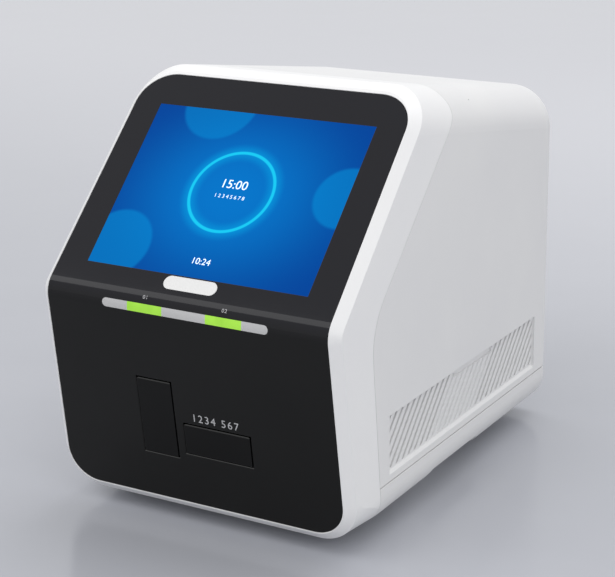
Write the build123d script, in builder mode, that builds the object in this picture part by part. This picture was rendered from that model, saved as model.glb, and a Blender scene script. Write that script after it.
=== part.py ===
from build123d import *
import os
from math import acos, ceil, cos, pi, radians, sin, sqrt, tan

os.makedirs("parts", exist_ok=True)

# A bench-top rapid test reader. Millimetres and degrees. X runs to the right as the
# operator sees it, the front faces -Y, Z is up, and the feet stand on Z = 0.

# Lengths named _behind are measured back from the foremost point of the front, and those
# named _ahead are measured forward from the rear rim.

# ---- Housing ----
body_depth = 327.0          # from the knee of the front to the rear rim
knee_half_width = 109.25    # half the width at the height of the knee
side_draft = 0.8            # lean of each side towards the roof
knee_height = 154.7         # where the two front faces would meet without the bend
upper_lean = 44.8           # upper front face, from vertical
lower_lean = 8.7            # lower front face, from vertical
knee_radius = 16.0
underside_height = 9.2
rear_height = 251.0         # roof above the table at the rear rim
roof_fall = 8.53            # slope of the roof towards the rear
roof_radius = 30.0
lower_radius = 28.0         # lower corners at the front
sill_radius = 22.0          # and behind it, along the base
sill_start = 7.0            # the tighter corner begins this far behind the front
sill_run = 34.0             # and is reached over this length
front_chamfer = 6.0
wall = 3.0
seam_gap = 0.35             # parting line between the bezel and the cover
base_seam_gap = 0.7         # the wider shadow gap over the base
base_top = 37.3             # parting line between the cover and the base
seam_foot_back = 37.5       # bezel depth behind the front at the base's top
seam_knee_back = 43.0       # and at the knee
seam_knee_drop = 9.2        # the seam's knee lies this far below the front's
seam_top_back = 58.8        # and at the roof corner's lower end
seam_top_height = 246.2
seam_roof_back = 38.0       # and across the roof
seam_bend_radius = 45.0
seam_crest_radius = 14.0
lip_clearance = 0.25
lip_thickness = 1.6
lip_length = 5.0

# ---- Front panel ----
panel_half_width = 102.75   # at the knee
panel_upper_length = 170.1  # from the knee corner up the upper face
panel_lower_length = 140.6  # and down the lower face
panel_upper_radius = 25.0
panel_lower_radius = 22.0
panel_thickness = 3.0
panel_recess = 0.4          # behind the bezel's rim
panel_fit = 0.15
ledge_thickness = 2.6       # the bezel's ledge behind the panel
ledge_width = 8.0

# ---- Screen ----
screen_width = 162.0        # the picture of an 8 inch 4:3 display
screen_height = 123.5
screen_rise = 22.3          # from the knee corner up the upper face
screen_fit = 0.05
lcd_border = 7.0
lcd_thickness = 4.5
bracket_thickness = 1.5
bracket_half_width = 99.5
bracket_height = 146.0
bracket_window = (84.0, 56.0)
bracket_pad_x = 97.0
bracket_pad_rise = 58.0     # above and below the screen's middle
bracket_pad_radius = 2.4
display_board_size = (112.0, 74.0)
display_standoff = 5.0
board_thickness = 1.6
plate_length = 38.7         # blank name plate under the screen
plate_height = 9.4
plate_rise = 11.8
plate_thickness = 0.4

# ---- Status light bar ----
bar_length = 121.6
bar_height = 5.8
bar_centre_x = 0.8
bar_centre_z = 149.9
bar_fit = 0.05
window_length = 26.0        # lit window over each drawer's side
window_left_x = -28.0
window_right_x = 30.0
light_board_length = 134.0
light_board_height = 9.0
light_board_behind = 4.8    # board's front face behind the foremost point of the knee
led_count = 8
led_size = (3.0, 2.5, 1.1)

# ---- Drawers ----
drawer_travel = 80.0
door_gap = 0.6
door_chamfer = 0.8
opening_chamfer = 0.6       # on the panel, round each door
door_a_left, door_a_right = -41.0, -14.3
door_a_low, door_a_high = 47.5, 101.3
door_b_left, door_b_right = -8.5, 41.7
door_b_low, door_b_high = 52.0, 73.8
tray_wall = 2.4
tray_a_low, tray_a_high = 50.5, 98.3
tray_b_low, tray_b_high = 54.5, 70.5
tray_side_gap = 1.0         # tray or rack inside the door opening
tray_length = 122.0
well_length = 70.0
well_a_floor = 10.0         # under the cartridge well
well_b_depth = 8.0
rack_depth = 4.0            # bar and teeth
rack_height = 6.0
rack_low = 53.5
gear_module = 1.0
gear_teeth = 18
gear_pressure_angle = 20.0
gear_backlash = 0.22
gear_addendum = 0.95         # of one module
gear_dedendum = 1.25
pinion_behind = 51.5
pinion_height = 5.0
shaft_radius = 2.5
shaft_clearance = 0.05
shaft_depth = 12.0          # shaft inside its motor
shaft_stub = 1.0            # shaft above the rack
shaft_chamfer = 0.4
motor_side = 28.0
motor_height = 23.5
motor_boss = 1.0
motor_groove = 0.8
rail_width = 7.0
rail_height = 5.0
runner_width = 17.0
runner_height = 6.5
runner_length = 26.0
runner_tail = 4.0           # tray behind the runner
rail_clearance = 0.3
rail_base_gap = 1.5         # runner's foot above the rail's base
beam_width = 12.0
rail_behind = 27.5
rail_length = 126.0

# ---- Chassis and optics ----
chassis_height = 16.0
chassis_thickness = 2.0
chassis_half_width = 75.0
chassis_behind = 29.5
chassis_ahead = 23.5
chassis_flange = 9.0
bridge_height = 108.0
bridge_thickness = 2.0
bridge_behind = 33.5
bridge_depth = 54.0
bridge_foot = 8.0
head_b_size = (40.0, 50.0)
head_b_drop = 26.0
head_b_lens_gap = 3.0
head_a_size = (27.0, 44.0)
head_a_height = 38.0
head_a_nose_gap = 2.5
head_behind = 55.5
lens_radius = 8.0
lens_thickness = 3.0
nose_wall = 1.0

# ---- Electronics ----
main_board_size = (90.0, 122.0)
main_board_x = 30.5
main_board_ahead = 12.0
standoff_height = 8.0
standoff_radius = 3.0
supply_size = (56.0, 108.0, 36.0)
supply_x = -45.0
supply_ahead = 31.5
supply_edge = 1.0
speaker_radius = 16.0
speaker_depth = 8.0
speaker_behind = 76.5
speaker_z = 62.0
speaker_gap = 2.0           # in front of the vent's inner face
speaker_post_radius = 7.0

# ---- Rear panel ----
rear_recess = 5.0
rear_thickness = 2.5
rear_fit = 0.3
fan_side = 80.0
fan_depth = 20.0
fan_bore_radius = 38.0
fan_height = 166.0
fan_hub_radius = 17.0
fan_blades = 7
fan_tip_gap = 1.2
fan_hole_pitch = 71.5
fan_strut = 3.0
fan_hub_edge = 1.0
fan_hub_gap = 1.0            # between the hub and the struts
blade_root_angle = 50.0
blade_tip_angle = 32.0
blade_thickness = 1.6
grille_hole_radius = 2.6
grille_ring_pitch = 6.8
grille_rings = 5
inlet_x = -62.0
inlet_z = 66.0
inlet_width = 27.0
inlet_height = 20.0
inlet_depth = 22.0
switch_z = 104.0
inlet_flange = (40.0, 26.0, 2.0)
inlet_cavity = (23.0, 15.0, 15.0)
inlet_blade = (2.0, 5.0, 12.0)
switch_width = 19.0
switch_height = 27.0
switch_depth = 13.0
switch_rim = 1.6
switch_throw = 16.0
rocker_half_height = 9.5
rocker_half_width = 6.5
rocker_face = 2.6           # in front of its pivot
rocker_gap = 0.8
rocker_pin_radius = 1.0
rocker_pin_length = 1.6
rocker_pivot_back = 0.5     # behind the rear panel's outer face
usb_x = 56.0
usb_spacing = 18.0
usb_size = (14.4, 18.0, 7.2)
usb_cavity = (12.4, 4.8)
network_x = 20.0
network_size = (16.0, 21.0, 13.6)
network_cavity = (12.0, 8.4)
socket_reach = 2.0          # sockets stand this far out of the rear panel
socket_fit = 0.3

# ---- Feet ----
foot_radius = 10.0
foot_x = 70.0
foot_behind = 73.5          # front pair
foot_ahead = 31.5           # rear pair
foot_seat = 2.0             # spigot of each foot inside the base
foot_chamfer = 1.0
foot_boss_radius = 6.0
screw_radius = 1.5
screw_head_radius = 3.0
screw_head_height = 1.8
screw_socket = 1.1          # depth of the key's socket
screw_bite = 1.8            # bracket screws into the bezel
screw_clearance = 0.1

# ---- Vents ----
vent_behind = 67.6
vent_ahead = 21.3
vent_low = 42.6
vent_high = 82.3
vent_recess = 1.6
vent_pad = 1.6              # extra wall behind the recess
vent_sill = 2.0             # sloped lower edge of the recess
slat_pitch = 8.75           # along the vent
slat_gap = 2.5              # width of one slot, square to the slats
slat_angle = 45.0
slat_margin = 1.2
blind_behind = 149.5        # from here the grooves don't go through
blind_length = 68.0
blind_depth = 1.5
blind_band = 4.0            # plain band over the blind grooves
pinhole_behind = 199.5
pinhole_radius = 0.6
finger_behind = 128.5       # grip under each side
finger_length = 90.0
finger_slope = 10.0
finger_rise = 11.2
finger_half_gap = 79.0      # the grips lie outside this half width


# ---- Worked out from the sizes above ----
lower_tan = tan(radians(lower_lean))
upper_tan = tan(radians(upper_lean))
lower_cos = cos(radians(lower_lean))
upper_cos = cos(radians(upper_lean))
lower_sin = sin(radians(lower_lean))
upper_sin = sin(radians(upper_lean))
roof_tan = tan(radians(roof_fall))
roof_cos = cos(radians(roof_fall))
knee_turn = radians(upper_lean + lower_lean)
knee_tilt = radians((upper_lean - lower_lean) / 2)
rear_y = body_depth / 2
knee_reach = knee_radius / cos(knee_turn / 2) * cos(knee_tilt) - knee_radius
knee_y = -rear_y - knee_reach          # the sharp corner, in front of the bend
ledge_back = panel_recess + panel_thickness + ledge_thickness
panel_back = panel_recess + panel_thickness
inner_floor = underside_height + wall
reach = 2 * body_depth                 # longer than anything it cuts
front_y = -rear_y
pinion_y = front_y + pinion_behind
rail_front_y = front_y + rail_behind
chassis_front_y = front_y + chassis_behind
chassis_rear_y = rear_y - chassis_ahead
bridge_front_y = front_y + bridge_behind
head_y = front_y + head_behind
speaker_y = front_y + speaker_behind
main_board_rear_y = rear_y - main_board_ahead
supply_rear_y = rear_y - supply_ahead
foot_front_y = front_y + foot_behind
foot_rear_y = rear_y - foot_ahead
vent_front_y = front_y + vent_behind
vent_rear_y = rear_y - vent_ahead
blind_front_y = front_y + blind_behind
blind_rear_y = blind_front_y + blind_length
pinhole_y = front_y + pinhole_behind
finger_front_y = front_y + finger_behind
finger_rear_y = finger_front_y + finger_length


def half_width(z, inset=0.0):
    """Half the housing's width at height z, with each side moved in by inset."""
    return knee_half_width + (knee_height - z) * tan(radians(side_draft)) - inset


def lower_y(z, inset=0.0):
    """Where the lower front face lies at height z, moved in by inset."""
    return knee_y + (knee_height - z) * lower_tan + inset / lower_cos


def upper_y(z, inset=0.0):
    """Where the upper front face lies at height z, moved in by inset."""
    return knee_y + (z - knee_height) * upper_tan + inset / upper_cos


def roof_z(y, inset=0.0):
    """Height of the roof at y, moved in by inset."""
    return rear_height + (rear_y - y) * roof_tan - inset / roof_cos


def knee_point(inset):
    """The corner where the two front faces meet, moved in by inset."""
    away = inset / cos(knee_turn / 2)
    return (knee_y + away * cos(knee_tilt), knee_height - away * sin(knee_tilt))


def is_at(across, up):
    """Picks an outline's corner by its place in the sketch."""
    return lambda v: abs(v.X - across) < 0.01 and abs(v.Y - up) < 0.01


def roof_point(front_inset, shell_inset):
    """The corner where the upper front face meets the roof."""
    flat = roof_z(knee_y + front_inset / upper_cos, shell_inset)
    z = (flat + knee_height * upper_tan * roof_tan) / (1 + upper_tan * roof_tan)
    return (upper_y(z, front_inset), z)


def housing_block(front_inset, shell_inset, rear_reach, corner=lower_radius):
    """The housing's outer form, its front and its other walls moved in, ending at rear_reach."""
    floor_z = underside_height + shell_inset
    corners = [
        (lower_y(floor_z, front_inset), floor_z),
        (rear_reach, floor_z),
        (rear_reach, roof_z(rear_reach, shell_inset)),
        roof_point(front_inset, shell_inset),
        knee_point(front_inset),
    ]
    top = rear_height + body_depth * roof_tan
    with BuildPart() as block:
        with BuildSketch(Plane.YZ) as side:
            with BuildLine():
                Polyline(*corners, close=True)
            make_face()
            fillet(side.vertices().sort_by(Axis.X)[0], knee_radius - front_inset)
        extrude(amount=2 * knee_half_width, both=True)
        with BuildSketch(Plane.XZ):
            with BuildLine():
                Polyline(
                    (-half_width(0, shell_inset), 0),
                    (half_width(0, shell_inset), 0),
                    (half_width(top, shell_inset), top),
                    (-half_width(top, shell_inset), top),
                    close=True,
                )
            make_face()
        extrude(amount=reach, both=True, mode=Mode.INTERSECT)
        beside = block.edges().filter_by(lambda e: abs(e.center().X) > panel_half_width / 2)
        fillet(beside.group_by(Axis.Z)[-1], roof_radius - shell_inset)
        beside = block.edges().filter_by(lambda e: abs(e.center().X) > panel_half_width / 2)
        fillet(beside.group_by(Axis.Z)[0], corner - shell_inset)
    return block.part


def seam_region(shift):
    """All that lies in front of the seam behind the bezel, the seam moved back by shift."""
    foot = (lower_y(base_top) + seam_foot_back, base_top)
    knee_z = knee_height - seam_knee_drop
    knee = (lower_y(knee_z) + seam_knee_back, knee_z)
    high = (upper_y(seam_top_height) + seam_top_back, seam_top_height)
    foot_slope = (foot[0] - knee[0]) / (knee[1] - foot[1])
    high_slope = (high[0] - knee[0]) / (high[1] - knee[1])
    crest_y = roof_point(0, 0)[0] + seam_roof_back
    crest = (crest_y, knee_z + (crest_y - knee[0]) / high_slope)
    under = -foot_radius
    above = rear_height + body_depth * roof_tan
    with BuildPart() as region:
        with BuildSketch(Plane.YZ) as side:
            with BuildLine():
                Polyline(
                    (-reach, under),
                    (knee[0] + (knee_z - under) * foot_slope + shift, under),
                    (knee[0] + shift, knee_z),
                    (crest[0] + shift, crest[1]),
                    (crest[0] + shift, above),
                    (-reach, above),
                    close=True,
                )
            make_face()
            fillet(side.vertices().filter_by(is_at(knee[0] + shift, knee_z)), seam_bend_radius)
            fillet(side.vertices().filter_by(is_at(crest[0] + shift, crest[1])), seam_crest_radius)
        extrude(amount=reach, both=True)
    return region.part


def panel_block(front_inset, back_inset, grow):
    """A bent plate along the front, between two insets, its outline larger by grow."""
    lower_end = (
        knee_y + (panel_lower_length + grow) * lower_sin,
        knee_height - (panel_lower_length + grow) * lower_cos,
    )
    upper_end = (
        knee_y + (panel_upper_length + grow) * upper_sin,
        knee_height + (panel_upper_length + grow) * upper_cos,
    )

    def lower_at(inset):
        return (lower_end[0] + inset * lower_cos, lower_end[1] + inset * lower_sin)

    def upper_at(inset):
        return (upper_end[0] + inset * upper_cos, upper_end[1] - inset * upper_sin)

    top = rear_height + body_depth * roof_tan
    edge = knee_half_width - panel_half_width - grow
    with BuildPart() as plate:
        with BuildSketch(Plane.YZ) as side:
            with BuildLine():
                Polyline(
                    lower_at(front_inset),
                    lower_at(back_inset),
                    knee_point(back_inset),
                    upper_at(back_inset),
                    upper_at(front_inset),
                    knee_point(front_inset),
                    close=True,
                )
            make_face()
            knees = side.vertices().sort_by(Axis.X)
            fillet(knees[0], knee_radius - front_inset)
            fillet(side.vertices().filter_by(is_at(*knee_point(back_inset))), knee_radius - back_inset)
        extrude(amount=2 * knee_half_width, both=True)
        with BuildSketch(Plane.XZ):
            with BuildLine():
                Polyline(
                    (-half_width(0, edge), 0),
                    (half_width(0, edge), 0),
                    (half_width(top, edge), top),
                    (-half_width(top, edge), top),
                    close=True,
                )
            make_face()
        extrude(amount=reach, both=True, mode=Mode.INTERSECT)
        beside = plate.edges().filter_by(lambda e: abs(e.center().X) > panel_half_width / 2)
        fillet(beside.group_by(Axis.Z)[-1], panel_upper_radius + grow)
        beside = plate.edges().filter_by(lambda e: abs(e.center().X) > panel_half_width / 2)
        fillet(beside.group_by(Axis.Z)[0], panel_lower_radius + grow)
    return plate.part


def upper_inset(inset):
    """The upper front face's plane, moved in by inset; its Y runs up the face."""
    face = Plane(origin=(0, knee_y, knee_height), x_dir=(1, 0, 0), z_dir=(0, -upper_cos, upper_sin))
    return face.offset(-inset)


def front_box(left, right, low, high, y_from, y_to):
    """A block between two heights and two sides, given by its front and back."""
    with BuildPart() as block:
        with BuildSketch(Plane.XZ.offset(-y_from)):
            with Locations(((left + right) / 2, (low + high) / 2)):
                Rectangle(right - left, high - low)
        extrude(amount=-(y_to - y_from))
    return block.part


# ---- Blocks that the shells are cut from ----
sill_front_y = lower_y(underside_height) + sill_start
sill_length = rear_y - sill_front_y
corner_z = underside_height + lower_radius
corner_x = half_width(corner_z) - lower_radius / cos(radians(side_draft))
sill_growth = (sqrt(2) - 1) * (lower_radius - sill_radius) / sill_run
with BuildPart() as corner_sill:
    with BuildSketch(Plane.XZ.offset(-sill_front_y)):
        with Locations((corner_x + lower_radius, corner_z - lower_radius)):
            Rectangle(2 * (lower_radius + wall), 2 * (lower_radius + wall))
    extrude(amount=-sill_length)
    add(housing_block(0, 0, rear_y, sill_radius), mode=Mode.INTERSECT)
    sill_middle = (corner_x, sill_front_y + sill_length / 2, corner_z)
    with Locations(Plane(origin=sill_middle, z_dir=(0, 1, 0))):
        Cone(lower_radius, lower_radius + sill_growth * sill_length, sill_length, mode=Mode.INTERSECT)

outer_block = housing_block(0, 0, rear_y)
with BuildPart() as outer_form:
    add(outer_block)
    front_faces = outer_form.faces().filter_by(lambda f: f.normal_at().Y < -0.5)
    rim = front_faces.edges().filter_by(
        lambda e: abs(e.center().X) > 1 or abs(e.center().Z - knee_height) > knee_radius
    )
    chamfer(rim, front_chamfer)
    add(corner_sill.part)
    add(corner_sill.part.mirror(Plane.YZ))
    fillet(outer_form.faces().sort_by(Axis.Y)[-1].edges(), wall / 2)

inner_form = housing_block(ledge_back, wall, rear_y + wall)
seam_front = seam_region(0)
seam_back = seam_region(seam_gap)
pocket = panel_block(-knee_radius, panel_back, panel_fit)
ledge_opening = panel_block(0, 2 * ledge_back, -ledge_width)
lip_outer = housing_block(ledge_back, wall + lip_clearance, rear_y + wall)
lip_inner = housing_block(ledge_back, wall + lip_clearance + lip_thickness, rear_y + wall)
lip_end = seam_region(lip_length)
lip_start = seam_region(-lip_length)

# ---- Front bezel: one moulded frame round the bent front ----
with BuildPart() as bezel_lip:
    add(lip_outer)
    add(lip_inner, mode=Mode.SUBTRACT)
    add(lip_end, mode=Mode.INTERSECT)
    add(lip_start, mode=Mode.SUBTRACT)

lip_seat = housing_block(ledge_back, wall / 2, rear_y)
with BuildPart() as lip_root:
    add(lip_seat)
    add(lip_inner, mode=Mode.SUBTRACT)
    add(seam_front, mode=Mode.INTERSECT)
    add(lip_start, mode=Mode.SUBTRACT)

screen_middle = screen_rise + screen_height / 2
pad_spots = [
    (x, screen_middle + rise)
    for x in (-bracket_pad_x, bracket_pad_x)
    for rise in (-bracket_pad_rise, bracket_pad_rise)
]

with BuildPart() as front_bezel:
    add(outer_form.part)
    add(inner_form, mode=Mode.SUBTRACT)
    add(pocket, mode=Mode.SUBTRACT)
    add(ledge_opening, mode=Mode.SUBTRACT)
    add(seam_front, mode=Mode.INTERSECT)
    add(bezel_lip.part)
    add(lip_root.part)
    with BuildSketch(upper_inset(ledge_back)):
        with Locations(*pad_spots):
            Circle(screw_radius + screw_clearance)
    extrude(amount=screw_bite, mode=Mode.SUBTRACT)
front_bezel.part.label = "front_bezel"
export_step(front_bezel.part, "parts/front_bezel.step")

# ---- Main cover: roof and both sides, with a slatted vent low in each side ----
vent_middle = (vent_low + vent_high) / 2
vent_length = vent_rear_y - vent_front_y
draft = radians(side_draft)


def side_plane(inset):
    """The right side's face, moved in by inset; its X runs back and its Y up."""
    return Plane(
        origin=(half_width(vent_middle, inset), 0, vent_middle),
        x_dir=(0, 1, 0),
        z_dir=(cos(draft), 0, sin(draft)),
    )


slat_low = vent_low + vent_sill + slat_margin - vent_middle
slat_high = vent_high - slat_margin - vent_middle
slat_front = vent_front_y + slat_margin
slat_rear = vent_rear_y - slat_margin
slat_lean = (slat_high - slat_low) / 2 / tan(radians(slat_angle))
slat_count = ceil((vent_length + 2 * slat_lean) / slat_pitch)
slat_centres = [vent_front_y - slat_lean + (i + 0.5) * slat_pitch for i in range(slat_count)]
blind_centres = [y for y in slat_centres if blind_front_y < y < blind_rear_y]
open_centres = [y for y in slat_centres if y not in blind_centres]
slat_length = 2 * (slat_high - slat_low)

with BuildPart() as vent_recess_cut:
    with BuildSketch(Plane.XZ.offset(-vent_front_y)):
        with BuildLine():
            Polyline(
                (half_width(vent_low, -wall), vent_low - vent_sill),
                (half_width(vent_low), vent_low),
                (half_width(vent_low, vent_recess), vent_low + vent_sill),
                (half_width(vent_high, vent_recess), vent_high),
                (half_width(vent_high, -wall), vent_high),
                close=True,
            )
        make_face()
    extrude(amount=-vent_length)

with BuildPart() as open_slots:
    with BuildSketch(side_plane(0)):
        with Locations([(y, (slat_low + slat_high) / 2) for y in open_centres]):
            Rectangle(slat_length, slat_gap, rotation=slat_angle)
        with Locations(((slat_front + slat_rear) / 2, (slat_low + slat_high) / 2)):
            Rectangle(slat_rear - slat_front, slat_high - slat_low, mode=Mode.INTERSECT)
    extrude(amount=-2 * (wall + vent_pad))

with BuildPart() as blind_slots:
    with BuildSketch(side_plane(vent_recess + blind_depth)):
        with Locations([(y, (slat_low + slat_high) / 2) for y in blind_centres]):
            Rectangle(slat_length, slat_gap, rotation=slat_angle)
        band_middle = slat_high - blind_band / 2
        with Locations(((blind_centres[0] + blind_centres[-1]) / 2 + slat_lean, band_middle)):
            Rectangle(blind_centres[-1] - blind_centres[0], blind_band)
        with Locations(((slat_front + slat_rear) / 2, (slat_low + slat_high) / 2)):
            Rectangle(slat_rear - slat_front, slat_high - slat_low, mode=Mode.INTERSECT)
    extrude(amount=vent_recess + blind_depth)

with BuildPart() as vent_backing:
    with BuildSketch(side_plane(wall - lip_clearance)):
        with Locations(((vent_front_y + vent_rear_y) / 2, (wall + vent_sill) / 2 - wall / 2)):
            Rectangle(vent_length + 2 * wall, vent_high - vent_low + wall - vent_sill)
    extrude(amount=-(vent_pad + lip_clearance))

panel_outer_y = rear_y - rear_recess
panel_inner_y = panel_outer_y - rear_thickness
boss_radius = screw_head_radius + 1.5
boss_length = 14.0
boss_heights = (inlet_z + inlet_height / 2 + wall, fan_height + fan_side / 2)
boss_spots = [
    (side * half_width(z, wall + boss_radius - rear_fit), z)
    for side in (-1, 1)
    for z in boss_heights
]
base_boss_spots = [(side * foot_x * 0.8, inner_floor + boss_radius - rear_fit) for side in (-1, 1)]

with BuildPart() as main_cover:
    add(outer_form.part)
    add(inner_form, mode=Mode.SUBTRACT)
    add(seam_back, mode=Mode.SUBTRACT)
    split(bisect_by=Plane.XY.offset(base_top + base_seam_gap), keep=Keep.TOP)
    for flip in (False, True):
        backing, recess = vent_backing.part, vent_recess_cut.part
        through, grooves = open_slots.part, blind_slots.part
        cuts = [recess, through, grooves]
        if flip:
            backing = backing.mirror(Plane.YZ)
            cuts = [cut.mirror(Plane.YZ) for cut in cuts]
        add(backing)
        for cut in cuts:
            add(cut, mode=Mode.SUBTRACT)
    with BuildSketch(Plane.XZ.offset(-panel_inner_y)):
        with Locations(*boss_spots):
            Circle(boss_radius)
    extrude(amount=boss_length)
    with BuildSketch(Plane.XZ.offset(-panel_inner_y)):
        with Locations(*boss_spots):
            Circle(screw_radius + shaft_clearance)
    extrude(amount=boss_length - wall, mode=Mode.SUBTRACT)
    with BuildSketch(Plane(
        origin=(half_width(rear_height) - roof_radius, pinhole_y, roof_z(pinhole_y, roof_radius)),
        x_dir=(0, 1, 0),
        z_dir=(1, 0, 1),
    )):
        Circle(pinhole_radius)
    extrude(amount=2 * roof_radius, mode=Mode.SUBTRACT)
main_cover.part.label = "main_cover"
export_step(main_cover.part, "parts/main_cover.step")

# ---- Base: the tray that everything stands on ----
foot_spots = [(x, y) for x in (-foot_x, foot_x) for y in (foot_front_y, foot_rear_y)]
lip_low = base_top - 2 * lip_length
lip_high = base_top + 0.8 * lip_length
lip_outer_x = half_width(base_top, wall + lip_clearance)
seam_at_base = lower_y(base_top) + seam_foot_back

with BuildPart() as finger_cut:
    with BuildSketch(Plane.YZ.offset(finger_half_gap)):
        with BuildLine():
            Polyline(
                (finger_front_y - finger_slope, underside_height - wall),
                (finger_front_y, underside_height),
                (finger_front_y + finger_slope, underside_height + finger_rise),
                (finger_rear_y - finger_slope, underside_height + finger_rise),
                (finger_rear_y, underside_height),
                (finger_rear_y + finger_slope, underside_height - wall),
                close=True,
            )
        make_face()
    extrude(amount=reach)

with BuildPart() as finger_roof:
    with BuildSketch(Plane.YZ.offset(finger_half_gap - wall)):
        with BuildLine():
            Polyline(
                (finger_front_y - finger_slope - wall, inner_floor - wall / 2),
                (finger_front_y - wall, inner_floor + wall),
                (finger_front_y + finger_slope - wall, underside_height + finger_rise + wall),
                (finger_rear_y - finger_slope + wall, underside_height + finger_rise + wall),
                (finger_rear_y + wall, inner_floor + wall),
                (finger_rear_y + finger_slope + wall, inner_floor - wall / 2),
                close=True,
            )
        make_face()
    extrude(amount=knee_half_width - finger_half_gap)
    add(lip_seat, mode=Mode.INTERSECT)

with BuildPart() as base_lips:
    with BuildSketch(Plane.XY.offset(lip_low)):
        with Locations(
            (lip_outer_x - lip_thickness / 2, (seam_at_base + panel_inner_y) / 2),
            (-lip_outer_x + lip_thickness / 2, (seam_at_base + panel_inner_y) / 2),
        ):
            Rectangle(lip_thickness, panel_inner_y - seam_at_base - 4 * lip_length)
    extrude(amount=lip_high - lip_low)

with BuildPart() as base_tray:
    add(outer_form.part)
    add(inner_form, mode=Mode.SUBTRACT)
    add(seam_back, mode=Mode.SUBTRACT)
    split(bisect_by=Plane.XY.offset(base_top), keep=Keep.BOTTOM)
    add(base_lips.part)
    add(finger_roof.part)
    add(finger_roof.part.mirror(Plane.YZ))
    add(finger_cut.part, mode=Mode.SUBTRACT)
    add(finger_cut.part.mirror(Plane.YZ), mode=Mode.SUBTRACT)
    with BuildSketch(Plane.XY.offset(inner_floor - wall / 2)):
        with Locations(*foot_spots):
            Circle(foot_boss_radius)
    extrude(amount=chassis_height - inner_floor + wall / 2)
    with BuildSketch(Plane.XY.offset(underside_height)):
        with Locations(*foot_spots):
            Circle(foot_radius / 2 + screw_clearance)
    extrude(amount=foot_seat, mode=Mode.SUBTRACT)
    with BuildSketch(Plane.XY.offset(underside_height)):
        with Locations(*foot_spots):
            Circle(screw_radius + screw_clearance)
    extrude(amount=chassis_height - underside_height, mode=Mode.SUBTRACT)
    with BuildSketch(Plane.XZ.offset(-panel_inner_y)):
        with Locations(*base_boss_spots):
            Circle(boss_radius)
    extrude(amount=boss_length)
    with BuildSketch(Plane.XZ.offset(-panel_inner_y)):
        with Locations(*base_boss_spots):
            Circle(screw_radius + shaft_clearance)
    extrude(amount=boss_length - wall, mode=Mode.SUBTRACT)
base_tray.part.label = "base_tray"
export_step(base_tray.part, "parts/base_tray.step")

# ---- Rubber feet and the screws that hold them, the base and the chassis together ----
with BuildPart() as rubber_feet:
    with BuildSketch(Plane.XY):
        with Locations(*foot_spots):
            Circle(foot_radius)
    extrude(amount=underside_height)
    chamfer(rubber_feet.edges().group_by(Axis.Z)[0], foot_chamfer)
    with BuildSketch(Plane.XY.offset(underside_height)):
        with Locations(*foot_spots):
            Circle(foot_radius / 2)
    extrude(amount=foot_seat)
    with BuildSketch(Plane.XY):
        with Locations(*foot_spots):
            Circle(screw_head_radius + screw_clearance)
    extrude(amount=2 * screw_head_height, mode=Mode.SUBTRACT)
    with BuildSketch(Plane.XY):
        with Locations(*foot_spots):
            Circle(screw_radius + screw_clearance)
    extrude(amount=underside_height + foot_seat, mode=Mode.SUBTRACT)
rubber_feet.part.label = "rubber_feet"
export_step(rubber_feet.part, "parts/rubber_feet.step")

with BuildPart() as foot_screws:
    with BuildSketch(Plane.XY.offset(screw_head_height)):
        with Locations(*foot_spots):
            Circle(screw_head_radius)
    extrude(amount=screw_head_height)
    with BuildSketch(Plane.XY.offset(screw_head_height)):
        with Locations(*foot_spots):
            RegularPolygon(screw_radius, 6)
    extrude(amount=screw_socket, mode=Mode.SUBTRACT)
    with BuildSketch(Plane.XY.offset(2 * screw_head_height)):
        with Locations(*foot_spots):
            Circle(screw_radius)
    extrude(amount=chassis_height + chassis_thickness - 2 * screw_head_height)
foot_screws.part.label = "foot_screws"
export_step(foot_screws.part, "parts/foot_screws.step")

# ---- Front panel: one bent gloss sheet with a window, a light slot and two drawer openings ----
door_a_box = front_box(
    door_a_left, door_a_right, door_a_low, door_a_high, 2 * knee_y, lower_y(door_a_low) + 2 * ledge_back
)
door_b_box = front_box(
    door_b_left, door_b_right, door_b_low, door_b_high, 2 * knee_y, lower_y(door_b_low) + 2 * ledge_back
)

panel_sheet = panel_block(panel_recess, panel_back, 0)


def is_opening_rim(edge):
    """Whether an edge of the panel's front face goes round one of the two door openings."""
    spot = edge.center()
    beside = door_a_left - door_gap < spot.X < door_b_right + door_gap
    level = door_a_low - door_gap < spot.Z < door_a_high + door_gap
    return beside and level and abs(spot.Y - lower_y(spot.Z, panel_recess)) < door_gap


with BuildPart() as front_fascia:
    add(panel_sheet)
    with BuildSketch(upper_inset(0)):
        with Locations((0, screen_middle)):
            Rectangle(screen_width + 2 * screen_fit, screen_height + 2 * screen_fit)
    extrude(amount=-2 * panel_back, mode=Mode.SUBTRACT)
    with BuildSketch(Plane.XZ.offset(-2 * knee_y)):
        with Locations((bar_centre_x, bar_centre_z)):
            SlotOverall(bar_length + 2 * bar_fit, bar_height + 2 * bar_fit)
    extrude(amount=2 * knee_y, mode=Mode.SUBTRACT)
    add(door_a_box, mode=Mode.SUBTRACT)
    add(door_b_box, mode=Mode.SUBTRACT)
    chamfer(front_fascia.edges().filter_by(is_opening_rim), opening_chamfer)
front_fascia.part.label = "front_fascia"
export_step(front_fascia.part, "parts/front_fascia.step")

with BuildPart() as name_plate:
    with BuildSketch(upper_inset(panel_recess)):
        with Locations((0, plate_rise + plate_height / 2)):
            SlotOverall(plate_length, plate_height)
    extrude(amount=plate_thickness)
name_plate.part.label = "name_plate"
export_step(name_plate.part, "parts/name_plate.step")

# ---- Status light bar: a grey lens with two lit windows, and the board behind it ----
window_spots = [(window_left_x, bar_centre_z), (window_right_x, bar_centre_z)]

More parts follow.
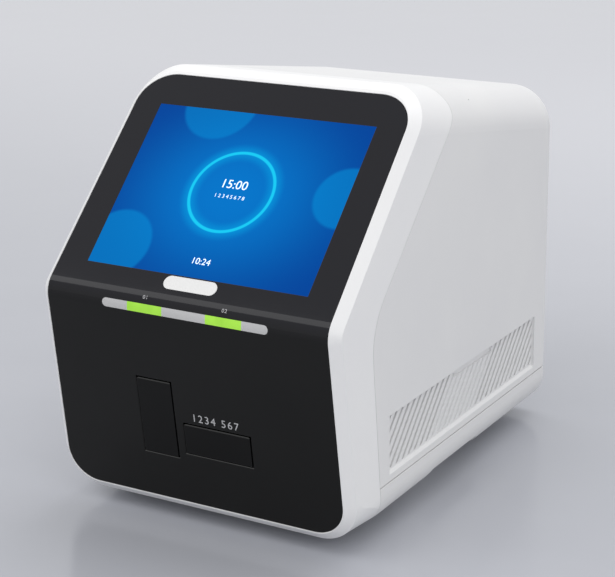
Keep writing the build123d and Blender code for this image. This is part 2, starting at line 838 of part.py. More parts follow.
with BuildPart() as light_bar_lens:
    with BuildSketch(Plane.XZ.offset(-2 * knee_y)):
        with Locations((bar_centre_x, bar_centre_z)):
            SlotOverall(bar_length, bar_height)
        with Locations(*window_spots):
            Rectangle(window_length, 2 * bar_height, mode=Mode.SUBTRACT)
    extrude(amount=2 * knee_y)
    add(panel_sheet, mode=Mode.INTERSECT)
light_bar_lens.part.label = "light_bar_lens"
export_step(light_bar_lens.part, "parts/light_bar_lens.step")

with BuildPart() as status_windows:
    with BuildSketch(Plane.XZ.offset(-2 * knee_y)):
        with Locations(*window_spots):
            Rectangle(window_length, bar_height)
    extrude(amount=2 * knee_y)
    add(panel_sheet, mode=Mode.INTERSECT)
status_windows.part.label = "status_windows"
export_step(status_windows.part, "parts/status_windows.step")

light_board_y = front_y + light_board_behind
led_pitch = light_board_length / (led_count + 1)

with BuildPart() as light_board:
    with BuildSketch(Plane.XZ.offset(-light_board_y)):
        with Locations((bar_centre_x, bar_centre_z)):
            Rectangle(light_board_length, light_board_height)
            with GridLocations(light_board_length - 2 * wall, 1, 2, 1):
                Circle(screw_radius / 2, mode=Mode.SUBTRACT)
    extrude(amount=-board_thickness)
light_board.part.label = "light_board"
export_step(light_board.part, "parts/light_board.step")

with BuildPart() as status_leds:
    with BuildSketch(Plane.XZ.offset(-light_board_y)):
        with Locations((bar_centre_x, bar_centre_z)):
            with GridLocations(led_pitch, 1, led_count, 1):
                Rectangle(led_size[0], led_size[1])
    extrude(amount=led_size[2])
status_leds.part.label = "status_leds"
export_step(status_leds.part, "parts/status_leds.step")

# ---- Screen: glass, display module, its bracket and its board ----
with BuildPart() as touch_glass:
    with BuildSketch(upper_inset(panel_recess)):
        with Locations((0, screen_middle)):
            Rectangle(screen_width, screen_height)
    extrude(amount=-panel_thickness)
touch_glass.part.label = "touch_glass"
export_step(touch_glass.part, "parts/touch_glass.step")

lcd_back = panel_back + lcd_thickness
bracket_back = lcd_back + bracket_thickness
board_front = bracket_back + display_standoff
board_grid = (
    display_board_size[0] - 2 * standoff_radius - board_thickness,
    display_board_size[1] - 2 * standoff_radius - board_thickness,
)

with BuildPart() as lcd_module:
    with BuildSketch(upper_inset(panel_back)):
        with Locations((0, screen_middle)):
            Rectangle(screen_width + 2 * lcd_border, screen_height + 2 * lcd_border)
    extrude(amount=-lcd_thickness)
    chamfer(lcd_module.edges().filter_by(Axis.X), bracket_thickness / 4)
lcd_module.part.label = "lcd_module"
export_step(lcd_module.part, "parts/lcd_module.step")

with BuildPart() as display_bracket:
    with BuildSketch(upper_inset(lcd_back)):
        with Locations((0, screen_middle)):
            RectangleRounded(2 * bracket_half_width, bracket_height, panel_thickness)
            Rectangle(*bracket_window, mode=Mode.SUBTRACT)
    extrude(amount=-bracket_thickness)
    with BuildSketch(upper_inset(ledge_back)):
        with Locations(*pad_spots):
            Circle(bracket_pad_radius)
    extrude(amount=-(lcd_back - ledge_back))
    with BuildSketch(upper_inset(ledge_back)):
        with Locations(*pad_spots):
            Circle(screw_radius + screw_clearance)
    extrude(amount=-(bracket_back - ledge_back), mode=Mode.SUBTRACT)
display_bracket.part.label = "display_bracket"
export_step(display_bracket.part, "parts/display_bracket.step")

with BuildPart() as bracket_screws:
    with BuildSketch(upper_inset(bracket_back)):
        with Locations(*pad_spots):
            Circle(screw_head_radius)
    extrude(amount=-screw_head_height)
    with BuildSketch(upper_inset(bracket_back)):
        with Locations(*pad_spots):
            Circle(screw_radius)
    extrude(amount=bracket_back - ledge_back + screw_bite - screw_clearance)
bracket_screws.part.label = "bracket_screws"
export_step(bracket_screws.part, "parts/bracket_screws.step")

with BuildPart() as display_standoffs:
    with BuildSketch(upper_inset(bracket_back)):
        with Locations((0, screen_middle)):
            with GridLocations(*board_grid, 2, 2):
                Circle(standoff_radius)
    extrude(amount=-display_standoff)
display_standoffs.part.label = "display_standoffs"
export_step(display_standoffs.part, "parts/display_standoffs.step")

chip_side = display_board_size[1] / 4
with BuildPart() as display_board:
    with BuildSketch(upper_inset(board_front)):
        with Locations((0, screen_middle)):
            Rectangle(*display_board_size)
    extrude(amount=-board_thickness)
display_board.part.label = "display_board"
export_step(display_board.part, "parts/display_board.step")

with BuildPart() as display_chips:
    with BuildSketch(upper_inset(board_front + board_thickness)):
        with Locations((-chip_side, screen_middle), (chip_side / 2, screen_middle + chip_side / 2)):
            Rectangle(chip_side, chip_side)
        with Locations((0, screen_middle - display_board_size[1] / 2 + standoff_radius)):
            Rectangle(2 * chip_side, standoff_radius)
    extrude(amount=-board_thickness)
display_chips.part.label = "display_chips"
export_step(display_chips.part, "parts/display_chips.step")

# ---- Drawers: a gloss door, a tray with a well, a rack, and a runner on a fixed rail ----
pitch_radius = gear_module * gear_teeth / 2
tooth_pitch = pi * gear_module
pressure_tan = tan(radians(gear_pressure_angle))
tray_rear_y = lower_y(rack_low, panel_back) + tray_length
well_front_y = lower_y(tray_a_low, panel_back) + tray_wall
well_rear_y = well_front_y + well_length
runner_rear_y = tray_rear_y - runner_tail
tooth_front = -3
tooth_rear = ceil(drawer_travel / tooth_pitch) + 2


def door_plate(left, right, low, high):
    """A drawer's front: part of the front panel's sheet, with a gap all round."""
    with BuildPart() as plate:
        with BuildSketch(Plane.YZ.offset(left + door_gap)):
            with BuildLine():
                Polyline(
                    (lower_y(low + door_gap, panel_recess), low + door_gap),
                    (lower_y(low + door_gap, panel_back), low + door_gap),
                    (lower_y(high - door_gap, panel_back), high - door_gap),
                    (lower_y(high - door_gap, panel_recess), high - door_gap),
                    close=True,
                )
            make_face()
        extrude(amount=right - left - 2 * door_gap)
        chamfer(plate.faces().sort_by(Axis.Y)[0].edges(), door_chamfer)
    return plate.part


def drawer_tray(left, right, low, high, well_floor, tail_high):
    """A drawer's tray: an open well behind the door and a lower tail over the runner."""
    with BuildPart() as tray:
        with BuildSketch(Plane.YZ.offset(left)):
            with BuildLine():
                Polyline(
                    (lower_y(low, panel_back), low),
                    (tray_rear_y, low),
                    (tray_rear_y, tail_high),
                    (well_rear_y + tray_wall, tail_high),
                    (well_rear_y + tray_wall, high),
                    (lower_y(high, panel_back), high),
                    close=True,
                )
            make_face()
        extrude(amount=right - left)
        with BuildSketch(Plane.XY.offset(well_floor)):
            with Locations(((left + right) / 2, (well_front_y + well_rear_y) / 2)):
                RectangleRounded(right - left - 2 * tray_wall, well_length, tray_wall)
        extrude(amount=high - well_floor, mode=Mode.SUBTRACT)
        chamfer(tray.faces().sort_by(Axis.Z)[-1].inner_wires()[0].edges(), door_chamfer)
    return tray.part


def drawer_runner(middle, low):
    """The block under a tray that slides along its rail."""
    with BuildPart() as runner:
        with BuildSketch(Plane.XZ.offset(-runner_rear_y)):
            with Locations((middle, low - runner_height / 2)):
                Rectangle(runner_width, runner_height)
            with Locations((middle, low - runner_height)):
                Rectangle(
                    rail_width + 2 * rail_clearance,
                    2 * (rail_height - rail_base_gap + rail_clearance),
                    mode=Mode.SUBTRACT,
                )
        extrude(amount=runner_length)
    return runner.part


def drawer_rail(middle, low):
    """The fixed steel rail under a tray."""
    with BuildPart() as rail:
        with BuildSketch(Plane.XZ.offset(-rail_front_y)):
            with Locations((middle, low - runner_height - rail_base_gap + rail_height / 2)):
                Rectangle(rail_width, rail_height)
        extrude(amount=-rail_length)
        chamfer(rail.edges().filter_by(Axis.Y).group_by(Axis.Z)[-1], rail_clearance)
    return rail.part


def rail_beam(middle, low):
    """The aluminium beam that carries a rail above the chassis."""
    foot = chassis_height + chassis_thickness
    top = low - runner_height - rail_base_gap
    with BuildPart() as beam:
        with BuildSketch(Plane.XZ.offset(-rail_front_y)):
            with Locations((middle, (foot + top) / 2)):
                Rectangle(beam_width, top - foot)
        extrude(amount=-rail_length)
        with BuildSketch(Plane.YZ.offset(middle)):
            with Locations((rail_front_y + rail_length / 2, (foot + top) / 2)):
                with GridLocations(rail_length / 4, 1, 4, 1):
                    RectangleRounded(rail_length / 5, (top - foot) / 2, tray_wall)
        extrude(amount=beam_width, both=True, mode=Mode.SUBTRACT)
    return beam.part


def toothed_rack(tips_x, side):
    """A rack on a tray's side, its teeth pointing to -X or +X as side says."""
    half = tooth_pitch / 4 - gear_backlash / 2
    tip = half - gear_module * pressure_tan
    root = half + gear_dedendum * gear_module * pressure_tan
    root_x = tips_x - side * (1 + gear_dedendum) * gear_module
    back_x = tips_x - side * rack_depth
    spots = [pinion_y + (k + 0.5) * tooth_pitch for k in range(tooth_front, tooth_rear)]
    front, rear = spots[0] - tooth_pitch / 2, spots[-1] + tooth_pitch / 2
    with BuildPart() as rack:
        with BuildSketch(Plane.XY.offset(rack_low)):
            with Locations(((root_x + back_x) / 2, (front + rear) / 2)):
                Rectangle(abs(root_x - back_x), rear - front)
            for spot in spots:
                with BuildLine():
                    Polyline(
                        (root_x, spot - root),
                        (tips_x, spot - tip),
                        (tips_x, spot + tip),
                        (root_x, spot + root),
                        close=True,
                    )
                make_face()
        extrude(amount=rack_height)
    return rack.part


def involute(angle):
    return tan(angle) - angle


def gear_outline():
    """The points round the pinion, each tooth flank an involute from root to tip."""
    base = pitch_radius * cos(radians(gear_pressure_angle))
    root = pitch_radius - gear_dedendum * gear_module
    tip = pitch_radius + gear_addendum * gear_module
    half_at_pitch = tooth_pitch / 4 / pitch_radius - gear_backlash / 2 / pitch_radius
    flank = [(root, None)] + [(base + (tip - base) * i / 4, i) for i in range(5)]
    points = []
    for tooth in range(gear_teeth):
        centre = 2 * pi * tooth / gear_teeth
        rising = []
        for radius, step in flank:
            open_angle = acos(min(1, base / radius)) if step is not None else 0
            lean = involute(radians(gear_pressure_angle)) - involute(open_angle)
            rising.append((radius, half_at_pitch + lean))
        for radius, half in rising:
            points.append((radius * cos(centre - half), radius * sin(centre - half)))
        for radius, half in reversed(rising):
            points.append((radius * cos(centre + half), radius * sin(centre + half)))
    return points


def drive_pinion(axis_x):
    """The toothed wheel that drives a rack."""
    foot = rack_low + (rack_height - pinion_height) / 2
    with BuildPart() as pinion:
        with BuildSketch(Plane(origin=(axis_x, pinion_y, foot), z_dir=(0, 0, 1))):
            with BuildLine():
                Polyline(*gear_outline(), close=True)
            make_face()
            Circle(shaft_radius + shaft_clearance / 2, mode=Mode.SUBTRACT)
        extrude(amount=pinion_height)
    return pinion.part


def motor_shaft(axis_x):
    """The motor's shaft, from inside the motor up through the pinion."""
    foot = chassis_height + chassis_thickness + motor_height - shaft_depth + shaft_clearance
    with BuildPart() as shaft:
        with BuildSketch(Plane(origin=(axis_x, pinion_y, foot), z_dir=(0, 0, 1))):
            Circle(shaft_radius)
        extrude(amount=rack_low + rack_height + shaft_stub - foot)
        chamfer(shaft.edges().group_by(Axis.Z)[-1], shaft_chamfer)
    return shaft.part


def drawer_motor(axis_x):
    """A square stepping motor standing on the chassis."""
    foot = chassis_height + chassis_thickness
    with BuildPart() as motor:
        with BuildSketch(Plane(origin=(axis_x, pinion_y, foot), z_dir=(0, 0, 1))):
            Rectangle(motor_side, motor_side)
        extrude(amount=motor_height)
        chamfer(motor.edges().filter_by(Axis.Z), motor_side / 10)
        with BuildSketch(Plane(origin=(axis_x, pinion_y, foot + motor_height), z_dir=(0, 0, 1))):
            Circle(shaft_radius * 3)
        extrude(amount=motor_boss)
        for low in (motor_height / 4, motor_height * 3 / 4):
            with BuildSketch(Plane(origin=(axis_x, pinion_y, foot + low), z_dir=(0, 0, 1))):
                Rectangle(2 * motor_side, 2 * motor_side)
                Rectangle(motor_side - motor_groove, motor_side - motor_groove, mode=Mode.SUBTRACT)
            extrude(amount=motor_groove, mode=Mode.SUBTRACT)
        bore_foot = foot + motor_height - shaft_depth
        with BuildSketch(Plane(origin=(axis_x, pinion_y, bore_foot), z_dir=(0, 0, 1))):
            Circle(shaft_radius + shaft_clearance)
        extrude(amount=2 * shaft_depth, mode=Mode.SUBTRACT)
    return motor.part


rack_a_tips = door_a_left + tray_side_gap
rack_b_tips = door_b_right - tray_side_gap
tray_a_left, tray_a_right = rack_a_tips + rack_depth, door_a_right - tray_side_gap
tray_b_left, tray_b_right = door_b_left + tray_side_gap, rack_b_tips - rack_depth
middle_a = (tray_a_left + tray_a_right) / 2
middle_b = (tray_b_left + tray_b_right) / 2
pinion_a_x = rack_a_tips + gear_module - pitch_radius
pinion_b_x = rack_b_tips - gear_module + pitch_radius
tail_height = tray_b_high - tray_b_low - well_b_depth

drawer_pieces = {
    "drawer_a_door": door_plate(door_a_left, door_a_right, door_a_low, door_a_high),
    "drawer_b_door": door_plate(door_b_left, door_b_right, door_b_low, door_b_high),
    "drawer_a_tray": drawer_tray(
        tray_a_left, tray_a_right, tray_a_low, tray_a_high,
        tray_a_low + well_a_floor, tray_a_low + well_a_floor,
    ),
    "drawer_b_tray": drawer_tray(
        tray_b_left, tray_b_right, tray_b_low, tray_b_high,
        tray_b_high - well_b_depth, tray_b_low + tail_height,
    ),
    "drawer_a_rack": toothed_rack(rack_a_tips, -1),
    "drawer_b_rack": toothed_rack(rack_b_tips, 1),
    "drawer_a_runner": drawer_runner(middle_a, tray_a_low),
    "drawer_b_runner": drawer_runner(middle_b, tray_b_low),
    "drawer_a_rail": drawer_rail(middle_a, tray_a_low),
    "drawer_b_rail": drawer_rail(middle_b, tray_b_low),
    "drawer_a_beam": rail_beam(middle_a, tray_a_low),
    "drawer_b_beam": rail_beam(middle_b, tray_b_low),
    "drawer_a_pinion": drive_pinion(pinion_a_x),
    "drawer_b_pinion": drive_pinion(pinion_b_x),
    "drawer_a_shaft": motor_shaft(pinion_a_x),
    "drawer_b_shaft": motor_shaft(pinion_b_x),
    "drawer_a_motor": drawer_motor(pinion_a_x),
    "drawer_b_motor": drawer_motor(pinion_b_x),
}
for name, piece in drawer_pieces.items():
    piece.label = name
    export_step(piece, f"parts/{name}.step")

# ---- Chassis: a folded steel plate on the base's bosses ----
deck = chassis_height + chassis_thickness

with BuildPart() as chassis_plate:
    with BuildSketch(Plane.XY.offset(chassis_height)):
        with Locations((0, (chassis_front_y + chassis_rear_y) / 2)):
            Rectangle(2 * chassis_half_width, chassis_rear_y - chassis_front_y)
        with Locations(*foot_spots):
            Circle(screw_radius + screw_clearance, mode=Mode.SUBTRACT)
    extrude(amount=chassis_thickness)
    with BuildSketch(Plane.XY.offset(chassis_height)):
        for side in (-1, 1):
            flange_x = side * (chassis_half_width - chassis_thickness / 2)
            with Locations((flange_x, (chassis_front_y + chassis_rear_y) / 2)):
                Rectangle(chassis_thickness, chassis_rear_y - chassis_front_y)
    extrude(amount=chassis_flange)
chassis_plate.part.label = "chassis_plate"
export_step(chassis_plate.part, "parts/chassis_plate.step")

# ---- Reading heads: a steel bridge over both drawers, with one optical head for each ----
bridge_half_width = chassis_half_width - chassis_thickness
head_top = bridge_height + bridge_thickness
nose_radius = lens_radius + nose_wall

with BuildPart() as reader_bridge:
    with BuildSketch(Plane.XZ.offset(-bridge_front_y)):
        with BuildLine():
            Polyline(
                (-bridge_half_width, deck),
                (-bridge_half_width, head_top),
                (bridge_half_width, head_top),
                (bridge_half_width, deck),
                (bridge_half_width - bridge_foot, deck),
                (bridge_half_width - bridge_foot, deck + bridge_thickness),
                (bridge_half_width - bridge_thickness, deck + bridge_thickness),
                (bridge_half_width - bridge_thickness, bridge_height),
                (-bridge_half_width + bridge_thickness, bridge_height),
                (-bridge_half_width + bridge_thickness, deck + bridge_thickness),
                (-bridge_half_width + bridge_foot, deck + bridge_thickness),
                (-bridge_half_width + bridge_foot, deck),
                close=True,
            )
        make_face()
    extrude(amount=-bridge_depth)
    with BuildSketch(Plane.XY.offset(bridge_height)):
        with Locations((middle_a, head_y)):
            Circle(nose_radius + rail_clearance)
    extrude(amount=bridge_thickness, mode=Mode.SUBTRACT)
reader_bridge.part.label = "reader_bridge"
export_step(reader_bridge.part, "parts/reader_bridge.step")

nose_a_low = tray_a_high + head_a_nose_gap
nose_b_low = tray_b_high + head_b_lens_gap
head_b_low = bridge_height - head_b_drop
lamp_radius = lens_radius / 2
lamp_a_z = head_top + head_a_height / 3
lamp_b_z = head_b_low + head_b_drop / 2

with BuildPart() as reader_head_a:
    with BuildSketch(Plane.XY.offset(head_top)):
        with Locations((middle_a, head_y)):
            RectangleRounded(*head_a_size, wall)
    extrude(amount=head_a_height)
    with BuildSketch(Plane.XY.offset(nose_a_low)):
        with Locations((middle_a, head_y)):
            Circle(nose_radius)
    extrude(amount=head_top - nose_a_low)
    with BuildSketch(Plane.XY.offset(nose_a_low)):
        with Locations((middle_a, head_y)):
            Circle(lens_radius)
    extrude(amount=head_top - nose_a_low + head_a_height / 2, mode=Mode.SUBTRACT)
    with BuildSketch(Plane(origin=(middle_a, head_y, lamp_a_z), z_dir=(0, -1, 0))):
        Circle(lamp_radius + shaft_clearance)
    extrude(amount=head_a_size[1], mode=Mode.SUBTRACT)
reader_head_a.part.label = "reader_head_a"
export_step(reader_head_a.part, "parts/reader_head_a.step")

with BuildPart() as reader_head_b:
    with BuildSketch(Plane.XY.offset(head_b_low)):
        with Locations((middle_b, head_y)):
            RectangleRounded(*head_b_size, wall)
    extrude(amount=head_b_drop)
    with BuildSketch(Plane.XY.offset(nose_b_low)):
        with Locations((middle_b, head_y)):
            Circle(nose_radius)
    extrude(amount=head_b_low - nose_b_low)
    with BuildSketch(Plane.XY.offset(nose_b_low)):
        with Locations((middle_b, head_y)):
            Circle(lens_radius)
    extrude(amount=head_b_low - nose_b_low + head_b_drop * 0.75, mode=Mode.SUBTRACT)
    with BuildSketch(Plane(origin=(middle_b, head_y, lamp_b_z), z_dir=(0, -1, 0))):
        Circle(lamp_radius + shaft_clearance)
    extrude(amount=head_b_size[1], mode=Mode.SUBTRACT)
reader_head_b.part.label = "reader_head_b"
export_step(reader_head_b.part, "parts/reader_head_b.step")

lens_spots = [(middle_a, nose_a_low + nose_wall), (middle_b, nose_b_low + nose_wall)]
with BuildPart() as reader_lenses:
    for lens_x, lens_z in lens_spots:
        with BuildSketch(Plane.XY.offset(lens_z)):
            with Locations((lens_x, head_y)):
                Circle(lens_radius - shaft_clearance)
        extrude(amount=lens_thickness)
reader_lenses.part.label = "reader_lenses"
export_step(reader_lenses.part, "parts/reader_lenses.step")

lamp_spots = [(middle_a, head_a_size[1], lamp_a_z), (middle_b, head_b_size[1], lamp_b_z)]
with BuildPart() as reader_lamps:
    for lamp_x, head_length, lamp_z in lamp_spots:
        front = head_y - head_length / 2
        with BuildSketch(Plane(origin=(lamp_x, front, lamp_z), z_dir=(0, 1, 0))):
            Circle(lamp_radius)
        extrude(amount=head_length / 2 - nose_radius)
        with BuildSketch(Plane(origin=(lamp_x, front, lamp_z), z_dir=(0, -1, 0))):
            Circle(lamp_radius + wall / 2)
        extrude(amount=wall)
reader_lamps.part.label = "reader_lamps"
export_step(reader_lamps.part, "parts/reader_lamps.step")

with BuildPart() as detector_boards:
    with BuildSketch(Plane.XY.offset(head_top + head_a_height)):
        with Locations((middle_a, head_y)):
            Rectangle(head_a_size[0] + wall, head_a_size[1] - wall)
    extrude(amount=board_thickness)
    with BuildSketch(Plane.XZ.offset(-(head_y + head_b_size[1] / 2))):
        with Locations((middle_b, lamp_b_z)):
            Rectangle(head_b_size[0] - wall, head_b_drop - wall)
    extrude(amount=-board_thickness)
detector_boards.part.label = "detector_boards"
export_step(detector_boards.part, "parts/detector_boards.step")

# ---- Loudspeaker, held out from the bridge behind the left vent ----
speaker_front = half_width(speaker_z, wall + vent_pad + speaker_gap)
speaker_back = speaker_front - speaker_depth
with BuildPart() as speaker:
    with BuildSketch(Plane(origin=(-speaker_back, speaker_y, speaker_z), z_dir=(-1, 0, 0))):
        Circle(speaker_radius)
    extrude(amount=speaker_depth)
    with BuildSketch(Plane(origin=(-speaker_front, speaker_y, speaker_z), z_dir=(1, 0, 0))):
        Circle(speaker_radius - wall)
    extrude(amount=speaker_depth / 2, taper=40, mode=Mode.SUBTRACT)
speaker.part.label = "speaker"
export_step(speaker.part, "parts/speaker.step")

with BuildPart() as speaker_mount:
    with BuildSketch(Plane(origin=(-bridge_half_width, speaker_y, speaker_z), z_dir=(-1, 0, 0))):
        Circle(speaker_post_radius)
    extrude(amount=speaker_back - bridge_half_width)
    with BuildSketch(Plane(origin=(-bridge_half_width, speaker_y, speaker_z), z_dir=(-1, 0, 0))):
        Rectangle(3 * speaker_post_radius, 3 * speaker_post_radius)
    extrude(amount=bridge_thickness)
speaker_mount.part.label = "speaker_mount"
export_step(speaker_mount.part, "parts/speaker_mount.step")

# ---- Main board on its standoffs, and the parts soldered to it ----
board_low = deck + standoff_height
board_top = board_low + board_thickness
main_board_y = main_board_rear_y - main_board_size[1] / 2
standoff_grid = (main_board_size[0] - 4 * standoff_radius, chassis_rear_y - main_board_y)
standoff_y = main_board_y - standoff_radius

with BuildPart() as board_standoffs:
    with BuildSketch(Plane.XY.offset(deck)):
        with Locations((main_board_x, standoff_y)):
            with GridLocations(*standoff_grid, 2, 3):
                RegularPolygon(standoff_radius, 6)
    extrude(amount=standoff_height)
board_standoffs.part.label = "board_standoffs"
export_step(board_standoffs.part, "parts/board_standoffs.step")

with BuildPart() as main_board:
    with BuildSketch(Plane.XY.offset(board_low)):
        with Locations((main_board_x, main_board_y)):
            RectangleRounded(*main_board_size, standoff_radius)
    extrude(amount=board_thickness)
main_board.part.label = "main_board"
export_step(main_board.part, "parts/main_board.step")

processor_side = main_board_size[0] / 3
processor_y = main_board_y - processor_side / 2
fin_pitch = processor_side / 8
with BuildPart() as heat_sink:
    with BuildSketch(Plane.XY.offset(board_top + board_thickness)):
        with Locations((main_board_x, processor_y)):
            Rectangle(processor_side, processor_side)
    extrude(amount=2 * board_thickness)
    with BuildSketch(Plane.XY.offset(board_top + 3 * board_thickness)):
        with Locations((main_board_x, processor_y)):
            with GridLocations(fin_pitch, 1, 8, 1):
                Rectangle(fin_pitch / 3, processor_side)
    extrude(amount=standoff_height)
heat_sink.part.label = "heat_sink"
export_step(heat_sink.part, "parts/heat_sink.step")

with BuildPart() as board_parts:
    with BuildSketch(Plane.XY.offset(board_top)):
        with Locations((main_board_x, processor_y)):
            Rectangle(processor_side * 0.9, processor_side * 0.9)
        with Locations((main_board_x + processor_side, processor_y)):
            with GridLocations(1, processor_side / 2, 1, 2):
                Rectangle(processor_side / 2, processor_side / 3)
        with Locations((main_board_x - processor_side, main_board_y - main_board_size[1] / 3)):
            Rectangle(processor_side / 3, processor_side)
    extrude(amount=board_thickness)
    with BuildSketch(Plane.XY.offset(board_top)):
        with Locations((main_board_x - processor_side, main_board_y + standoff_height)):
            with GridLocations(1, 2 * standoff_height, 1, 3):
                Circle(standoff_height / 2)
    extrude(amount=2 * standoff_height)
board_parts.part.label = "board_parts"
export_step(board_parts.part, "parts/board_parts.step")

# ---- Power supply: a closed ventilated module beside the main board ----
supply_y = supply_rear_y - supply_size[1] / 2
with BuildPart() as power_supply:
    with BuildSketch(Plane.XY.offset(deck)):
        with Locations((supply_x, supply_y)):
            Rectangle(supply_size[0], supply_size[1])
    extrude(amount=supply_size[2])
    chamfer(power_supply.edges().filter_by(Axis.Y).group_by(Axis.Z)[-1], supply_edge)
    with BuildSketch(Plane.XY.offset(deck + supply_size[2])):
        with Locations((supply_x, supply_y)):
            with GridLocations(supply_size[0] / 2.4, supply_size[1] / 14, 2, 10):
                SlotOverall(supply_size[0] / 3, wall)
    extrude(amount=-wall, mode=Mode.SUBTRACT)
power_supply.part.label = "power_supply"
export_step(power_supply.part, "parts/power_supply.step")

# ---- Rear panel with the fan's grille and the openings for the sockets ----
usb_spots = [usb_x - usb_spacing / 2, usb_x + usb_spacing / 2]
socket_front_y = panel_outer_y + socket_reach
screw_spots = boss_spots + base_boss_spots
fan_screw_spots = [
    (x * fan_hole_pitch / 2, fan_height + z * fan_hole_pitch / 2) for x in (-1, 1) for z in (-1, 1)
]
grille_spots = [
    (ring * grille_ring_pitch, 6 * ring) for ring in range(1, grille_rings + 1)
]

rear_block = housing_block(ledge_back, wall + rear_fit, rear_y + wall)

with BuildPart() as rear_panel:
    add(rear_block)
    split(bisect_by=Plane.XZ.offset(-panel_inner_y), keep=Keep.BOTTOM)
    split(bisect_by=Plane.XZ.offset(-panel_outer_y), keep=Keep.TOP)
    with BuildSketch(Plane.XZ.offset(-panel_inner_y)):
        with Locations(*screw_spots, *fan_screw_spots):
            Circle(screw_radius + screw_clearance)
        with Locations((0, fan_height)):
            Circle(grille_hole_radius)
            for radius, holes in grille_spots:
                with PolarLocations(radius, holes):
                    Circle(grille_hole_radius)
        with Locations((inlet_x, inlet_z)):
            Rectangle(inlet_width + 2 * socket_fit, inlet_height + 2 * socket_fit)
        with Locations((inlet_x, switch_z)):
            Rectangle(switch_width + 2 * socket_fit, switch_height + 2 * socket_fit)
        with Locations(*[(x, board_top + usb_size[2] / 2) for x in usb_spots]):
            Rectangle(usb_size[0] + 2 * socket_fit, usb_size[2] + 2 * socket_fit)
        with Locations((network_x, board_top + network_size[2] / 2)):
            Rectangle(network_size[0] + 2 * socket_fit, network_size[2] + 2 * socket_fit)
    extrude(amount=-rear_thickness, mode=Mode.SUBTRACT)
rear_panel.part.label = "rear_panel"
export_step(rear_panel.part, "parts/rear_panel.step")

with BuildPart() as rear_screws:
    with BuildSketch(Plane.XZ.offset(-panel_outer_y)):
        with Locations(*screw_spots, *fan_screw_spots):
            Circle(screw_head_radius)
    extrude(amount=-screw_head_height)
    with BuildSketch(Plane.XZ.offset(-(panel_outer_y + screw_head_height))):
        with Locations(*screw_spots, *fan_screw_spots):
            RegularPolygon(screw_radius, 6)
    extrude(amount=screw_socket, mode=Mode.SUBTRACT)
    with BuildSketch(Plane.XZ.offset(-panel_outer_y)):
        with Locations(*screw_spots, *fan_screw_spots):
            Circle(screw_radius)
    extrude(amount=rear_thickness + boss_length / 2)
rear_screws.part.label = "rear_screws"
export_step(rear_screws.part, "parts/rear_screws.step")

# ---- Cooling fan: a square frame and a rotor on its own shaft ----
fan_front_y = panel_inner_y - fan_depth
hub_plate_radius = fan_hub_radius - fan_hub_edge
fan_axis = (0, fan_front_y, fan_height)

with BuildPart() as fan_frame:
    with BuildSketch(Plane(origin=fan_axis, z_dir=(0, 1, 0))):
        RectangleRounded(fan_side, fan_side, fan_strut)
        Circle(fan_bore_radius, mode=Mode.SUBTRACT)
        with GridLocations(fan_hole_pitch, fan_hole_pitch, 2, 2):
            Circle(screw_radius + screw_clearance, mode=Mode.SUBTRACT)
    extrude(amount=fan_depth)
    with BuildSketch(Plane(origin=fan_axis, z_dir=(0, 1, 0))):
        Circle(hub_plate_radius)
        Rectangle(2 * fan_bore_radius + fan_strut, fan_strut)
        Rectangle(fan_strut, 2 * fan_bore_radius + fan_strut)
        Circle(screw_radius + shaft_clearance, mode=Mode.SUBTRACT)
    extrude(amount=fan_strut)
fan_frame.part.label = "fan_frame"
export_step(fan_frame.part, "parts/fan_frame.step")

hub_front_y = fan_front_y + fan_strut + fan_hub_gap
hub_length = fan_depth - fan_strut - 2 * fan_hub_gap
blade_middle_y = hub_front_y + hub_length / 2
blade_chord = hub_length * 1.1
with BuildPart() as fan_blade:
    with BuildSketch(Plane(
        origin=(fan_hub_radius - fan_hub_edge, blade_middle_y, fan_height), z_dir=(1, 0, 0)
    )):
        Rectangle(blade_chord, blade_thickness, rotation=blade_root_angle)
    with BuildSketch(Plane(
        origin=(fan_bore_radius - fan_tip_gap - fan_hub_edge, blade_middle_y, fan_height), z_dir=(1, 0, 0)
    )):
        Rectangle(blade_chord, blade_thickness, rotation=blade_tip_angle)
    loft()

with BuildPart() as fan_rotor:
    with BuildSketch(Plane(origin=(0, hub_front_y, fan_height), z_dir=(0, 1, 0))):
        Circle(fan_hub_radius)
    extrude(amount=hub_length)
    fillet(fan_rotor.edges().group_by(Axis.Y)[-1], fan_hub_edge)
    for turn in range(fan_blades):
        spin = Axis((0, 0, fan_height), (0, 1, 0))
        add(fan_blade.part.rotate(spin, 360 * turn / fan_blades))
    with BuildSketch(Plane(origin=(0, hub_front_y, fan_height), z_dir=(0, -1, 0))):
        Circle(screw_radius)
    extrude(amount=fan_strut)
fan_rotor.part.label = "fan_rotor"
export_step(fan_rotor.part, "parts/fan_rotor.step")

# ---- Mains inlet and rocker switch ----
with BuildPart() as power_inlet:
    with BuildSketch(Plane.XZ.offset(-panel_outer_y)):
        with Locations((inlet_x, inlet_z)):
            RectangleRounded(inlet_flange[0], inlet_flange[1], inlet_flange[2])
    extrude(amount=-inlet_flange[2])
    with BuildSketch(Plane.XZ.offset(-panel_outer_y)):
        with Locations((inlet_x, inlet_z)):
            Rectangle(inlet_width, inlet_height)
    extrude(amount=inlet_depth)
    with BuildSketch(Plane.XZ.offset(-(panel_outer_y + inlet_flange[2]))):
        with Locations((inlet_x, inlet_z)):
            RectangleRounded(inlet_cavity[0], inlet_cavity[1], wall)
    extrude(amount=inlet_cavity[2], mode=Mode.SUBTRACT)
    with BuildSketch(Plane.XZ.offset(-(panel_outer_y + inlet_flange[2] - inlet_cavity[2]))):
        with Locations((inlet_x, inlet_z + inlet_cavity[1] / 6)):
            Rectangle(inlet_blade[0], inlet_blade[1])
        with Locations((inlet_x, inlet_z - inlet_cavity[1] / 6)):
            with GridLocations(inlet_cavity[0] * 0.6, 1, 2, 1):
                Rectangle(inlet_blade[0], inlet_blade[1])
    extrude(amount=-inlet_blade[2])
